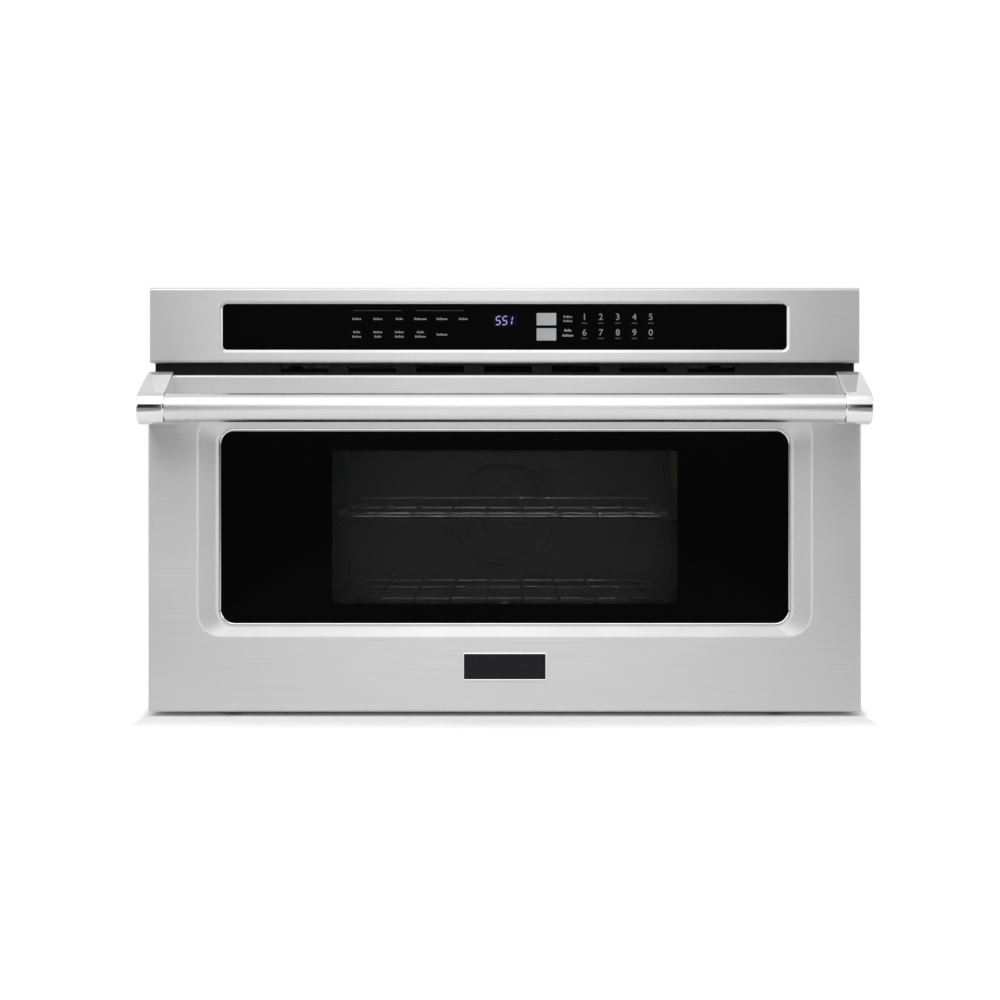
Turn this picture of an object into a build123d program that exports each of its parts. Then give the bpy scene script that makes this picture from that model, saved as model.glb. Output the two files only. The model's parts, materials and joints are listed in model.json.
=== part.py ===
from build123d import *
import os
from math import cos, radians, sin

# Built-in combination microwave oven with a drop-down door. Millimetres, Z up, front towards -Y.
# The origin is the bottom centre of the whole oven. Depths are counted back from the door's face.

os.makedirs("parts", exist_ok=True)

# Driving dimensions of the front
FRONT_WIDTH = 755.6
DOOR_HEIGHT = 357.0
DOOR_LIFT = 5.0
VENT_GAP = 13.0
FASCIA_HEIGHT = 80.0

# Driving dimensions of the body
BODY_DEPTH = 565.0
CHASSIS_WIDTH = 640.0
CHASSIS_HEIGHT = 449.0
CAVITY_WIDTH = 400.0
CAVITY_HEIGHT = 244.0
CAVITY_DEPTH = 409.5
CAVITY_FLOOR = 79.0

# Handle
TUBE_RADIUS = 15.0
TUBE_WALL = 1.6
NOSE_RADIUS = 17.5
HANDLE_STANDOFF = 55.5
HANDLE_HEIGHT = 327.0
BRACKET_WIDTH = 28.0
BRACKET_TOP = 365.5

# Sheet and clearances
SHEET = 1.0
FRAME_SHEET = 1.5
LINER_SHEET = 1.0
RUNNING_CLEARANCE = 0.05
GAP = 0.3
ROUND_SIDES = 16

# Worked out from these
HANDLE_REACH = HANDLE_STANDOFF + NOSE_RADIUS
DOOR_FACE_Y = HANDLE_REACH - (HANDLE_REACH + BODY_DEPTH) / 2
HALF_FRONT = FRONT_WIDTH / 2
HALF_CHASSIS = CHASSIS_WIDTH / 2
HALF_CAVITY = CAVITY_WIDTH / 2
DOOR_BOTTOM = DOOR_LIFT
DOOR_TOP = DOOR_BOTTOM + DOOR_HEIGHT
FASCIA_BOTTOM = DOOR_TOP + VENT_GAP
FASCIA_TOP = FASCIA_BOTTOM + FASCIA_HEIGHT
CAVITY_CEILING = CAVITY_FLOOR + CAVITY_HEIGHT

# Depths behind the door's face
FASCIA_FACE = 10.0
SKIN_REAR = 31.0
DOOR_REAR = 43.2
FRAME_FRONT = 44.0
FRAME_REAR = FRAME_FRONT + FRAME_SHEET
TOE_DEPTH = 58.0
CAVITY_BACK = FRAME_REAR + CAVITY_DEPTH
GLAND_FLANGE = 5.0
REAR_FACE = BODY_DEPTH - GLAND_FLANGE
HINGE_DEPTH = 22.0
HINGE_HEIGHT = 26.0
HINGE_X = 290.0
TURNTABLE_DEPTH = 245.0


def behind(depth):
    """Y of a point that lies depth behind the door's face."""
    return DOOR_FACE_Y + depth


def facing(depth):
    """Plane parallel to the front, depth behind the door's face. Local x is X, local y is Z, forwards is out."""
    return Plane.XZ.offset(-behind(depth))


def level(height):
    """Horizontal plane at a height."""
    return Plane.XY.offset(height)


def across(x):
    """Plane parallel to the sides. Local x is Y, local y is Z."""
    return Plane.YZ.offset(x)


def span(left, right, low, high):
    """Rectangle between four edges, on the sketch in hand."""
    with Locations(((left + right) / 2, (low + high) / 2)):
        Rectangle(right - left, high - low)


def rounded_span(left, right, low, high, radius):
    """Rectangle with round corners between four edges, on the sketch in hand."""
    with Locations(((left + right) / 2, (low + high) / 2)):
        RectangleRounded(right - left, high - low, radius)


def cut_span(left, right, low, high):
    """The same rectangle taken out of the sketch in hand."""
    with Locations(((left + right) / 2, (low + high) / 2)):
        Rectangle(right - left, high - low, mode=Mode.SUBTRACT)


def slab(plane, left, right, low, high, thickness, mode=Mode.ADD):
    """Flat plate on the part in hand, thickness in front of or above its plane."""
    with BuildSketch(plane) as profile:
        span(left, right, low, high)
    extrude(profile.sketch, amount=thickness, mode=mode)


def round_bar(radius, mode=Mode.ADD):
    """Section of a small round bar, drawn with flats whose corners lie on the circle."""
    RegularPolygon(radius, ROUND_SIDES, mode=mode)


def round_hole(radius, mode=Mode.SUBTRACT):
    """Section of a small round hole, drawn with flats that clear the circle."""
    RegularPolygon(radius, ROUND_SIDES, major_radius=False, mode=mode)


# Door skin: a folded sheet with a shallow dish pressed round the window

DISH_HALF_WIDTH = 327.0
DISH_LOW = 83.4
DISH_HIGH = 327.0
DISH_RADIUS = 27.0
DISH_DEPTH = 4.0
DISH_FLOOR = 1.0
GLASS_HALF_WIDTH = 300.4
GLASS_LOW = 99.6
GLASS_HIGH = 302.3
GLASS_RADIUS = 14.0
BEZEL_WIDTH = 2.6
DOOR_EDGE_RADIUS = 3.0
ARM_NOTCH_HALF = 7.0
TRAY_FRONT = 12.0


def window_outline(grow, mode=Mode.ADD):
    """The outer glass's outline grown by a margin, on the sketch in hand."""
    reach = GLASS_HALF_WIDTH + grow
    with Locations((0, (GLASS_LOW + GLASS_HIGH) / 2)):
        RectangleRounded(2 * reach, GLASS_HIGH - GLASS_LOW + 2 * grow, GLASS_RADIUS + grow, mode=mode)


with BuildPart(mode=Mode.PRIVATE) as door_inside:
    slab(
        facing(SKIN_REAR),
        -HALF_FRONT + SHEET,
        HALF_FRONT - SHEET,
        DOOR_BOTTOM + SHEET,
        DOOR_TOP - SHEET,
        SKIN_REAR - SHEET,
    )
    with BuildSketch(facing(DISH_DEPTH + SHEET)):
        rounded_span(-DISH_HALF_WIDTH, DISH_HALF_WIDTH, DISH_LOW, DISH_HIGH, DISH_RADIUS)
    extrude(amount=DISH_DEPTH, mode=Mode.SUBTRACT)

with BuildPart() as door_skin:
    slab(facing(SKIN_REAR), -HALF_FRONT, HALF_FRONT, DOOR_BOTTOM, DOOR_TOP, SKIN_REAR)
    face_edges = door_skin.faces().sort_by(Axis.Y)[0].edges()
    fillet(face_edges.filter_by(Axis.X), DOOR_EDGE_RADIUS)
    with BuildSketch(facing(0)):
        rounded_span(-DISH_HALF_WIDTH, DISH_HALF_WIDTH, DISH_LOW, DISH_HIGH, DISH_RADIUS)
    with BuildSketch(facing(DISH_DEPTH)):
        window_outline(BEZEL_WIDTH + DISH_FLOOR)
    loft(ruled=True, mode=Mode.SUBTRACT)
    add(door_inside.part, mode=Mode.SUBTRACT)
    with BuildSketch(facing(SKIN_REAR)):
        window_outline(BEZEL_WIDTH)
    extrude(amount=SKIN_REAR, mode=Mode.SUBTRACT)
    for x in (-HINGE_X, HINGE_X):
        slab(
            facing(SKIN_REAR),
            x - ARM_NOTCH_HALF,
            x + ARM_NOTCH_HALF,
            DOOR_BOTTOM - SHEET,
            DOOR_BOTTOM + 2 * SHEET,
            SKIN_REAR - TRAY_FRONT,
            Mode.SUBTRACT,
        )

door_skin.part.label = "door_skin"
export_step(door_skin.part, "parts/door_skin.step")

# Window: a polished bezel that holds the outer glass like a picture frame

BEZEL_FRONT = 3.2
GLASS_FRONT = 5.0
GLASS_THICKNESS = 4.0
GLASS_REAR = GLASS_FRONT + GLASS_THICKNESS
GLASS_EDGE = 0.6
BEZEL_FLANGE = 1.6
BEZEL_REAR = GLASS_REAR + BEZEL_FLANGE
BEZEL_FIT = 0.2
BEZEL_LEDGE = 8.0


with BuildPart() as window_bezel:
    with BuildSketch(facing(BEZEL_REAR)):
        window_outline(BEZEL_WIDTH - BEZEL_FIT)
    extrude(amount=BEZEL_REAR - BEZEL_FRONT)
    with BuildSketch(facing(GLASS_REAR)):
        window_outline(BEZEL_FIT)
    extrude(amount=GLASS_REAR, mode=Mode.SUBTRACT)
    with BuildSketch(facing(BEZEL_REAR)):
        window_outline(-BEZEL_LEDGE)
    extrude(amount=BEZEL_REAR, mode=Mode.SUBTRACT)
    inner_rim = window_bezel.faces().sort_by(Axis.Y)[0].inner_wires()[0].edges()
    chamfer(inner_rim, length=GLASS_FRONT - BEZEL_FRONT, length2=BEZEL_WIDTH - 3 * BEZEL_FIT)

window_bezel.part.label = "window_bezel"
export_step(window_bezel.part, "parts/window_bezel.step")

with BuildPart() as door_glass:
    with BuildSketch(facing(GLASS_REAR)):
        window_outline(0)
    extrude(amount=GLASS_THICKNESS)
    chamfer(door_glass.faces().sort_by(Axis.Y)[0].edges(), length=GLASS_EDGE)

door_glass.part.label = "door_glass"
export_step(door_glass.part, "parts/door_glass.step")

# Inner door: a tray that nests in the skin, with the microwave choke pressed into it

TRAY_FIT = 0.4
TRAY_SHEET = 1.2
SIGHT_HALF_WIDTH = 187.5
SIGHT_LOW = 115.0
SIGHT_HIGH = 282.0
SIGHT_RADIUS = 6.0
CHOKE_INNER_MARGIN = 13.0
CHOKE_WIDTH = 18.0
CHOKE_DEPTH = 18.0
FINGER_PITCH = 32.0
FINGER_GAP = 3.0
FINGER_ROOT = 4.0
TRAY_HALF = HALF_FRONT - SHEET - TRAY_FIT
TRAY_LOW = DOOR_BOTTOM + SHEET + TRAY_FIT
TRAY_HIGH = DOOR_TOP - SHEET - TRAY_FIT
CHOKE_IN = HALF_CAVITY + CHOKE_INNER_MARGIN
CHOKE_OUT = CHOKE_IN + CHOKE_WIDTH
CHOKE_IN_LOW = CAVITY_FLOOR - CHOKE_INNER_MARGIN
CHOKE_IN_HIGH = CAVITY_CEILING + CHOKE_INNER_MARGIN
CHOKE_OUT_LOW = CHOKE_IN_LOW - CHOKE_WIDTH
CHOKE_OUT_HIGH = CHOKE_IN_HIGH + CHOKE_WIDTH
LATCH_X = 262.0
LATCH_HEIGHT = 335.0
LATCH_SLOT_HALF = 6.0
LATCH_SLOT_HEIGHT = 26.0
ARM_NOTCH_TOP = 50.0


def choke_ring(plane, grow, depth, mode=Mode.ADD):
    """Rectangular ring over the choke's groove, its walls grown to both sides."""
    with BuildSketch(plane) as profile:
        span(-CHOKE_OUT - grow, CHOKE_OUT + grow, CHOKE_OUT_LOW - grow, CHOKE_OUT_HIGH + grow)
        cut_span(-CHOKE_IN + grow, CHOKE_IN - grow, CHOKE_IN_LOW + grow, CHOKE_IN_HIGH - grow)
    extrude(profile.sketch, amount=depth, mode=mode)


with BuildPart() as door_frame:
    slab(facing(DOOR_REAR), -TRAY_HALF, TRAY_HALF, TRAY_LOW, TRAY_HIGH, DOOR_REAR - TRAY_FRONT)
    slab(
        facing(DOOR_REAR - TRAY_SHEET),
        -TRAY_HALF + TRAY_SHEET,
        TRAY_HALF - TRAY_SHEET,
        TRAY_LOW + TRAY_SHEET,
        TRAY_HIGH - TRAY_SHEET,
        DOOR_REAR,
        Mode.SUBTRACT,
    )
    choke_ring(facing(DOOR_REAR), TRAY_SHEET, CHOKE_DEPTH + TRAY_SHEET)
    choke_ring(facing(DOOR_REAR), 0, CHOKE_DEPTH, Mode.SUBTRACT)
    with BuildSketch(facing(DOOR_REAR)):
        rounded_span(-SIGHT_HALF_WIDTH, SIGHT_HALF_WIDTH, SIGHT_LOW, SIGHT_HIGH, SIGHT_RADIUS)
        with Locations((-HINGE_X, 0), (HINGE_X, 0)):
            Rectangle(2 * ARM_NOTCH_HALF, 2 * ARM_NOTCH_TOP)
        with Locations((-LATCH_X, LATCH_HEIGHT), (LATCH_X, LATCH_HEIGHT)):
            Rectangle(2 * LATCH_SLOT_HALF, LATCH_SLOT_HEIGHT)
    extrude(amount=TRAY_SHEET, mode=Mode.SUBTRACT)
    with BuildSketch(facing(DOOR_REAR)):
        with Locations((-HINGE_X, TRAY_LOW), (HINGE_X, TRAY_LOW)):
            Rectangle(2 * ARM_NOTCH_HALF, 4 * TRAY_SHEET)
    extrude(amount=DOOR_REAR - TRAY_FRONT, mode=Mode.SUBTRACT)
    finger_length = CHOKE_DEPTH - FINGER_ROOT
    finger_depth = behind(DOOR_REAR - finger_length / 2)
    for wall in (CHOKE_IN_LOW, CHOKE_IN_HIGH - TRAY_SHEET):
        with BuildSketch(level(wall)):
            with Locations((0, finger_depth)):
                with GridLocations(FINGER_PITCH, 0, int(2 * CHOKE_IN / FINGER_PITCH), 1):
                    Rectangle(FINGER_GAP, finger_length)
        extrude(amount=TRAY_SHEET, mode=Mode.SUBTRACT)
    for wall in (-CHOKE_IN, CHOKE_IN - TRAY_SHEET):
        with BuildSketch(across(wall)):
            with Locations((finger_depth, (CHOKE_IN_LOW + CHOKE_IN_HIGH) / 2)):
                count = int((CHOKE_IN_HIGH - CHOKE_IN_LOW) / FINGER_PITCH)
                with GridLocations(0, FINGER_PITCH, 1, count):
                    Rectangle(finger_length, FINGER_GAP)
        extrude(amount=TRAY_SHEET, mode=Mode.SUBTRACT)

door_frame.part.label = "door_frame"
export_step(door_frame.part, "parts/door_frame.step")

# The choke's groove is closed by a plastic frame that hides its fingers

COVER_FIT = 0.3
COVER_INSET = 0.2
COVER_THICKNESS = 2.0
COVER_EDGE = 0.8

with BuildPart() as choke_cover:
    choke_ring(facing(DOOR_REAR - COVER_INSET), -COVER_FIT, COVER_THICKNESS)
    back_rim = choke_cover.faces().sort_by(Axis.Y)[-1].edges()
    chamfer(back_rim, length=COVER_EDGE)

choke_cover.part.label = "choke_cover"
export_step(choke_cover.part, "parts/choke_cover.step")

INNER_GLASS_LAP = 7.0
INNER_GLASS_THICKNESS = 4.0
SCREEN_LAP = 9.0
SCREEN_SHEET = 0.8

with BuildPart() as inner_glass:
    with BuildSketch(facing(DOOR_REAR - TRAY_SHEET)):
        lap = INNER_GLASS_LAP
        rounded_span(
            -SIGHT_HALF_WIDTH - lap,
            SIGHT_HALF_WIDTH + lap,
            SIGHT_LOW - lap,
            SIGHT_HIGH + lap,
            SIGHT_RADIUS + lap,
        )
    extrude(amount=INNER_GLASS_THICKNESS)

inner_glass.part.label = "inner_glass"
export_step(inner_glass.part, "parts/inner_glass.step")

# The screen's fine holes are closed here: it is one sheet with a pressed edge that clamps the inner glass

SCREEN_REAR = DOOR_REAR - TRAY_SHEET - INNER_GLASS_THICKNESS

with BuildPart() as door_screen:
    lap = SCREEN_LAP
    with BuildSketch(facing(SCREEN_REAR)):
        span(-SIGHT_HALF_WIDTH - lap, SIGHT_HALF_WIDTH + lap, SIGHT_LOW - lap, SIGHT_HIGH + lap)
    extrude(amount=SCREEN_SHEET)
    with BuildSketch(facing(DOOR_REAR - TRAY_SHEET)):
        span(-SIGHT_HALF_WIDTH - lap, SIGHT_HALF_WIDTH + lap, SIGHT_LOW - lap, SIGHT_HIGH + lap)
        lap = SCREEN_LAP - SCREEN_SHEET
        cut_span(-SIGHT_HALF_WIDTH - lap, SIGHT_HALF_WIDTH + lap, SIGHT_LOW - lap, SIGHT_HIGH + lap)
    extrude(amount=INNER_GLASS_THICKNESS)

door_screen.part.label = "door_screen"
export_step(door_screen.part, "parts/door_screen.step")

# Handle: a tube between two cast brackets

BRACKET_EDGE = 0.8
TUBE_SEAT = 16.0
TUBE_END_PLAY = 1.0
BRACKET_INNER = HALF_FRONT - BRACKET_WIDTH

with BuildPart() as handle_bracket_right:
    with BuildSketch(across(BRACKET_INNER)):
        with BuildLine():
            CenterArc((behind(-HANDLE_STANDOFF), HANDLE_HEIGHT), NOSE_RADIUS, 0, 360)
            Line(
                (behind(0), HANDLE_HEIGHT - NOSE_RADIUS),
                (behind(0), BRACKET_TOP),
            )
        make_hull()
    extrude(amount=BRACKET_WIDTH)
    cheeks = handle_bracket_right.faces().filter_by(Axis.X)
    rims = cheeks.edges().filter_by(lambda edge: edge.center().Y < behind(-BRACKET_EDGE))
    chamfer(rims, BRACKET_EDGE)
    with BuildSketch(across(BRACKET_INNER)):
        with Locations((behind(-HANDLE_STANDOFF), HANDLE_HEIGHT)):
            Circle(TUBE_RADIUS + RUNNING_CLEARANCE)
    extrude(amount=TUBE_SEAT, mode=Mode.SUBTRACT)

handle_bracket_right.part.label = "handle_bracket_right"
export_step(handle_bracket_right.part, "parts/handle_bracket_right.step")

with BuildPart() as handle_bracket_left:
    mirror(handle_bracket_right.part, about=Plane.YZ)

handle_bracket_left.part.label = "handle_bracket_left"
export_step(handle_bracket_left.part, "parts/handle_bracket_left.step")

with BuildPart() as handle_tube:
    tube_half = BRACKET_INNER + TUBE_SEAT - TUBE_END_PLAY
    with BuildSketch(across(-tube_half)):
        with Locations((behind(-HANDLE_STANDOFF), HANDLE_HEIGHT)):
            Circle(TUBE_RADIUS)
            Circle(TUBE_RADIUS - TUBE_WALL, mode=Mode.SUBTRACT)
    extrude(amount=2 * tube_half)

handle_tube.part.label = "handle_tube"
export_step(handle_tube.part, "parts/handle_tube.step")

# Hinges: a cassette in the door turns about a pin in a fixed arm, against a spring

PIN_RADIUS = 4.0
ARM_THICKNESS = 6.0
ARM_EYE_RADIUS = 8.0
ARM_BAR_HALF = 8.0
ARM_REAR = 150.0
ARM_HEEL_PLAY = 4.0
ARM_HEEL_RUN = 10.0
LUG_REACH = 17.0
LUG_ANGLE = 100.0
LUG_NECK_RADIUS = 5.0
LUG_RADIUS = 3.5
LUG_HOLE_RADIUS = 1.6
CASSETTE_WIDTH = 16.0
CASSETTE_WALL = 1.5
CASSETTE_FRONT = 12.0
CASSETTE_LOW = 9.0
CASSETTE_HIGH = 170.0

with BuildPart() as hinge_arm_right:
    with BuildSketch(across(HINGE_X - ARM_THICKNESS / 2)):
        pivot = (behind(HINGE_DEPTH), HINGE_HEIGHT)
        lug_y = behind(HINGE_DEPTH) + LUG_REACH * cos(radians(LUG_ANGLE))
        lug_z = HINGE_HEIGHT + LUG_REACH * sin(radians(LUG_ANGLE))
        with Locations(pivot):
            round_bar(ARM_EYE_RADIUS)
        with BuildLine():
            CenterArc(pivot, LUG_NECK_RADIUS, 0, 360)
            CenterArc((lug_y, lug_z), LUG_RADIUS, 0, 360)
        make_hull()
        bar_top = HINGE_HEIGHT + ARM_BAR_HALF
        span(behind(HINGE_DEPTH), behind(ARM_REAR), HINGE_HEIGHT - ARM_BAR_HALF, bar_top)
        with BuildLine():
            heel = TOE_DEPTH + ARM_HEEL_PLAY
            Polyline(
                (behind(heel), bar_top),
                (behind(heel + ARM_HEEL_RUN), bar_top + 2 * ARM_BAR_HALF),
                (behind(ARM_REAR), bar_top + 2 * ARM_BAR_HALF),
                (behind(ARM_REAR), bar_top),
                close=True,
            )
        make_face()
        with Locations(pivot):
            round_hole(PIN_RADIUS + RUNNING_CLEARANCE)
        with Locations((lug_y, lug_z)):
            round_hole(LUG_HOLE_RADIUS)
    extrude(amount=ARM_THICKNESS)

hinge_arm_right.part.label = "hinge_arm_right"
export_step(hinge_arm_right.part, "parts/hinge_arm_right.step")

with BuildPart() as hinge_arm_left:
    mirror(hinge_arm_right.part, about=Plane.YZ)

hinge_arm_left.part.label = "hinge_arm_left"
export_step(hinge_arm_left.part, "parts/hinge_arm_left.step")

with BuildPart() as hinge_cassette_right:
    with BuildSketch(level(CASSETTE_LOW)):
        half = CASSETTE_WIDTH / 2
        rear = DOOR_REAR - TRAY_SHEET
        span(HINGE_X - half, HINGE_X + half, behind(CASSETTE_FRONT), behind(rear))
        inner = half - CASSETTE_WALL
        cut_span(HINGE_X - inner, HINGE_X + inner, behind(CASSETTE_FRONT + CASSETTE_WALL), behind(rear))
    extrude(amount=CASSETTE_HIGH - CASSETTE_LOW)
    slab(
        level(CASSETTE_HIGH - CASSETTE_WALL),
        HINGE_X - half,
        HINGE_X + half,
        behind(CASSETTE_FRONT),
        behind(rear),
        CASSETTE_WALL,
    )
    with BuildSketch(across(HINGE_X - half)):
        with Locations((behind(HINGE_DEPTH), HINGE_HEIGHT)):
            round_bar(PIN_RADIUS)
    extrude(amount=CASSETTE_WIDTH, mode=Mode.SUBTRACT)

hinge_cassette_right.part.label = "hinge_cassette_right"
export_step(hinge_cassette_right.part, "parts/hinge_cassette_right.step")

with BuildPart() as hinge_cassette_left:
    mirror(hinge_cassette_right.part, about=Plane.YZ)

hinge_cassette_left.part.label = "hinge_cassette_left"
export_step(hinge_cassette_left.part, "parts/hinge_cassette_left.step")

PIN_HEAD_RADIUS = 6.0
PIN_HEAD = 2.0
PIN_END = 2.0

with BuildPart() as hinge_pins:
    for x in (-HINGE_X, HINGE_X):
        with BuildSketch(across(x - CASSETTE_WIDTH / 2 - PIN_END)):
            with Locations((behind(HINGE_DEPTH), HINGE_HEIGHT)):
                round_bar(PIN_RADIUS)
        extrude(amount=CASSETTE_WIDTH + PIN_END)
        with BuildSketch(across(x + CASSETTE_WIDTH / 2)):
            with Locations((behind(HINGE_DEPTH), HINGE_HEIGHT)):
                round_bar(PIN_HEAD_RADIUS)
        extrude(amount=PIN_HEAD)

hinge_pins.part.label = "hinge_pins"
export_step(hinge_pins.part, "parts/hinge_pins.step")

SPRING_RADIUS = 4.6
SPRING_LOW = lug_z + 8.0
SPRING_HIGH = CASSETTE_HIGH - CASSETTE_WALL - 6.0

with BuildPart() as hinge_springs:
    with BuildSketch(level(SPRING_LOW)):
        with Locations((-HINGE_X, lug_y), (HINGE_X, lug_y)):
            round_bar(SPRING_RADIUS)
    extrude(amount=SPRING_HIGH - SPRING_LOW)

hinge_springs.part.label = "hinge_springs"
export_step(hinge_springs.part, "parts/hinge_springs.step")

# Latch hooks that reach through the front frame to the interlock switches

LATCH_PIVOT_DEPTH = 30.0
LATCH_THICKNESS = 5.0
LATCH_EYE_RADIUS = 8.0
LATCH_PIN_RADIUS = 3.0
HOOK_HALF = 5.0
HOOK_TIP = 66.0
HOOK_RISE = 3.0
HOOK_NOSE = 5.0
HOOK_LENGTH = 10.0

with BuildPart() as latch_hook_right:
    with BuildSketch(across(LATCH_X - LATCH_THICKNESS / 2)):
        latch_pivot = (behind(LATCH_PIVOT_DEPTH), LATCH_HEIGHT)
        with Locations(latch_pivot):
            round_bar(LATCH_EYE_RADIUS)
        with BuildLine():
            low = LATCH_HEIGHT - HOOK_HALF
            high = LATCH_HEIGHT + HOOK_HALF
            Polyline(
                (behind(LATCH_PIVOT_DEPTH), low),
                (behind(HOOK_TIP - HOOK_NOSE), low),
                (behind(HOOK_TIP), low + HOOK_RISE),
                (behind(HOOK_TIP - HOOK_NOSE), high + HOOK_RISE),
                (behind(HOOK_TIP - HOOK_LENGTH), high + HOOK_RISE),
                (behind(HOOK_TIP - HOOK_LENGTH - 1), high - 1),
                (behind(LATCH_PIVOT_DEPTH), high),
                close=True,
            )
        make_face()
        with Locations(latch_pivot):
            round_hole(LATCH_PIN_RADIUS + RUNNING_CLEARANCE)
    extrude(amount=LATCH_THICKNESS)

latch_hook_right.part.label = "latch_hook_right"
export_step(latch_hook_right.part, "parts/latch_hook_right.step")

with BuildPart() as latch_hook_left:
    mirror(latch_hook_right.part, about=Plane.YZ)

latch_hook_left.part.label = "latch_hook_left"
export_step(latch_hook_left.part, "parts/latch_hook_left.step")

# Each hook turns on a pin that stands in a small bracket fixed behind the door frame

BRACKET_HALF = 9.0
BRACKET_WALL = 1.5
BRACKET_FRONT = 20.0
BRACKET_HEIGHT = 24.0

with BuildPart() as latch_brackets:
    for x in (-LATCH_X, LATCH_X):
        with BuildSketch(level(LATCH_HEIGHT - BRACKET_HEIGHT / 2)):
            inner = BRACKET_HALF - BRACKET_WALL
            rear = behind(DOOR_REAR - TRAY_SHEET)
            span(x - BRACKET_HALF, x + BRACKET_HALF, behind(BRACKET_FRONT), rear)
            cut_span(x - inner, x + inner, behind(BRACKET_FRONT + BRACKET_WALL), rear)
        extrude(amount=BRACKET_HEIGHT)
        with BuildSketch(across(x - BRACKET_HALF)):
            with Locations((behind(LATCH_PIVOT_DEPTH), LATCH_HEIGHT)):
                round_bar(LATCH_PIN_RADIUS)
        extrude(amount=2 * BRACKET_HALF)

latch_brackets.part.label = "latch_brackets"
export_step(latch_brackets.part, "parts/latch_brackets.step")

# Front frame: the sheet that the cavity is welded to, folded back under the door's swing

FRAME_FOLD = 47.0
FRAME_BOTTOM = 1.5
CAVITY_CORNER = 12.0
LATCH_WINDOW_LOW = LATCH_HEIGHT - 10.0
LATCH_WINDOW_HIGH = LATCH_HEIGHT + 15.0
WIRE_PORT_X = 60.0
WIRE_PORT_HEIGHT = 415.0
WIRE_PORT_WIDTH = 50.0
WIRE_PORT_HIGH = 20.0
ARM_PORT_LOW = HINGE_HEIGHT - ARM_BAR_HALF - 2.0
ARM_PORT_HIGH = HINGE_HEIGHT + ARM_BAR_HALF + 3.0
VENT_SLOTS = 7
VENT_PITCH = 72.6
VENT_SHIFT = 3.5
VENT_SLOT_WIDTH = 51.0
VENT_SLOT_LOW = DOOR_TOP + 4.0
VENT_SLOT_HIGH = FASCIA_BOTTOM - FRAME_SHEET

with BuildPart() as front_frame:
    with BuildSketch(facing(FRAME_REAR)):
        span(-HALF_CHASSIS + SHEET, HALF_CHASSIS - SHEET, FRAME_FOLD, CHASSIS_HEIGHT - SHEET)
        with Locations((0, (CAVITY_FLOOR + CAVITY_CEILING) / 2)):
            RectangleRounded(CAVITY_WIDTH, CAVITY_HEIGHT, CAVITY_CORNER, mode=Mode.SUBTRACT)
        for x in (-LATCH_X, LATCH_X):
            cut_span(x - LATCH_SLOT_HALF, x + LATCH_SLOT_HALF, LATCH_WINDOW_LOW, LATCH_WINDOW_HIGH)
        with Locations((VENT_SHIFT, (VENT_SLOT_LOW + VENT_SLOT_HIGH) / 2)):
            with GridLocations(VENT_PITCH, 0, VENT_SLOTS, 1):
                Rectangle(VENT_SLOT_WIDTH, VENT_SLOT_HIGH - VENT_SLOT_LOW, mode=Mode.SUBTRACT)
        with Locations((-WIRE_PORT_X, WIRE_PORT_HEIGHT), (WIRE_PORT_X, WIRE_PORT_HEIGHT)):
            Rectangle(WIRE_PORT_WIDTH, WIRE_PORT_HIGH, mode=Mode.SUBTRACT)
    extrude(amount=FRAME_SHEET)
    with BuildSketch(across(-HALF_CHASSIS + SHEET)):
        with BuildLine():
            Polyline(
                (behind(FRAME_FRONT), FRAME_FOLD),
                (behind(TOE_DEPTH - FRAME_SHEET), FRAME_FOLD),
                (behind(TOE_DEPTH - FRAME_SHEET), FRAME_BOTTOM),
                (behind(TOE_DEPTH), FRAME_BOTTOM),
                (behind(TOE_DEPTH), FRAME_FOLD + FRAME_SHEET),
                (behind(FRAME_FRONT), FRAME_FOLD + FRAME_SHEET),
                close=True,
            )
        make_face()
    extrude(amount=CHASSIS_WIDTH - 2 * SHEET)
    for x in (-HINGE_X, HINGE_X):
        slab(
            facing(TOE_DEPTH),
            x - ARM_NOTCH_HALF,
            x + ARM_NOTCH_HALF,
            ARM_PORT_LOW,
            ARM_PORT_HIGH,
            FRAME_SHEET,
            Mode.SUBTRACT,
        )

front_frame.part.label = "front_frame"
export_step(front_frame.part, "parts/front_frame.step")

# Mounting flanges: the four installation screws go through these into the cabinet's face

FLANGE_REACH = 374.5
FLANGE_LOW = FRAME_FOLD + 2.0
FLANGE_HIGH = 448.0
FLANGE_RETURN = 30.0
SCREW_X = 368.0
SCREW_LOW = 90.0
SCREW_HIGH = 350.0
SCREW_HOLE_RADIUS = 2.6

with BuildPart() as mounting_flange_right:
    with BuildSketch(level(FLANGE_LOW)):
        with BuildLine():
            Polyline(
                (HALF_CHASSIS, behind(FRAME_FRONT)),
                (FLANGE_REACH, behind(FRAME_FRONT)),
                (FLANGE_REACH, behind(FRAME_REAR)),
                (HALF_CHASSIS + FRAME_SHEET, behind(FRAME_REAR)),
                (HALF_CHASSIS + FRAME_SHEET, behind(FRAME_REAR + FLANGE_RETURN)),
                (HALF_CHASSIS, behind(FRAME_REAR + FLANGE_RETURN)),
                close=True,
            )
        make_face()
    extrude(amount=FLANGE_HIGH - FLANGE_LOW)
    with BuildSketch(facing(FRAME_REAR)):
        with Locations((SCREW_X, SCREW_LOW), (SCREW_X, SCREW_HIGH)):
            Circle(SCREW_HOLE_RADIUS)
    extrude(amount=FRAME_SHEET, mode=Mode.SUBTRACT)

mounting_flange_right.part.label = "mounting_flange_right"
export_step(mounting_flange_right.part, "parts/mounting_flange_right.step")

with BuildPart() as mounting_flange_left:
    mirror(mounting_flange_right.part, about=Plane.YZ)

mounting_flange_left.part.label = "mounting_flange_left"
export_step(mounting_flange_left.part, "parts/mounting_flange_left.step")

# Control panel: a folded fascia with a bevelled opening for the black glass

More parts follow.
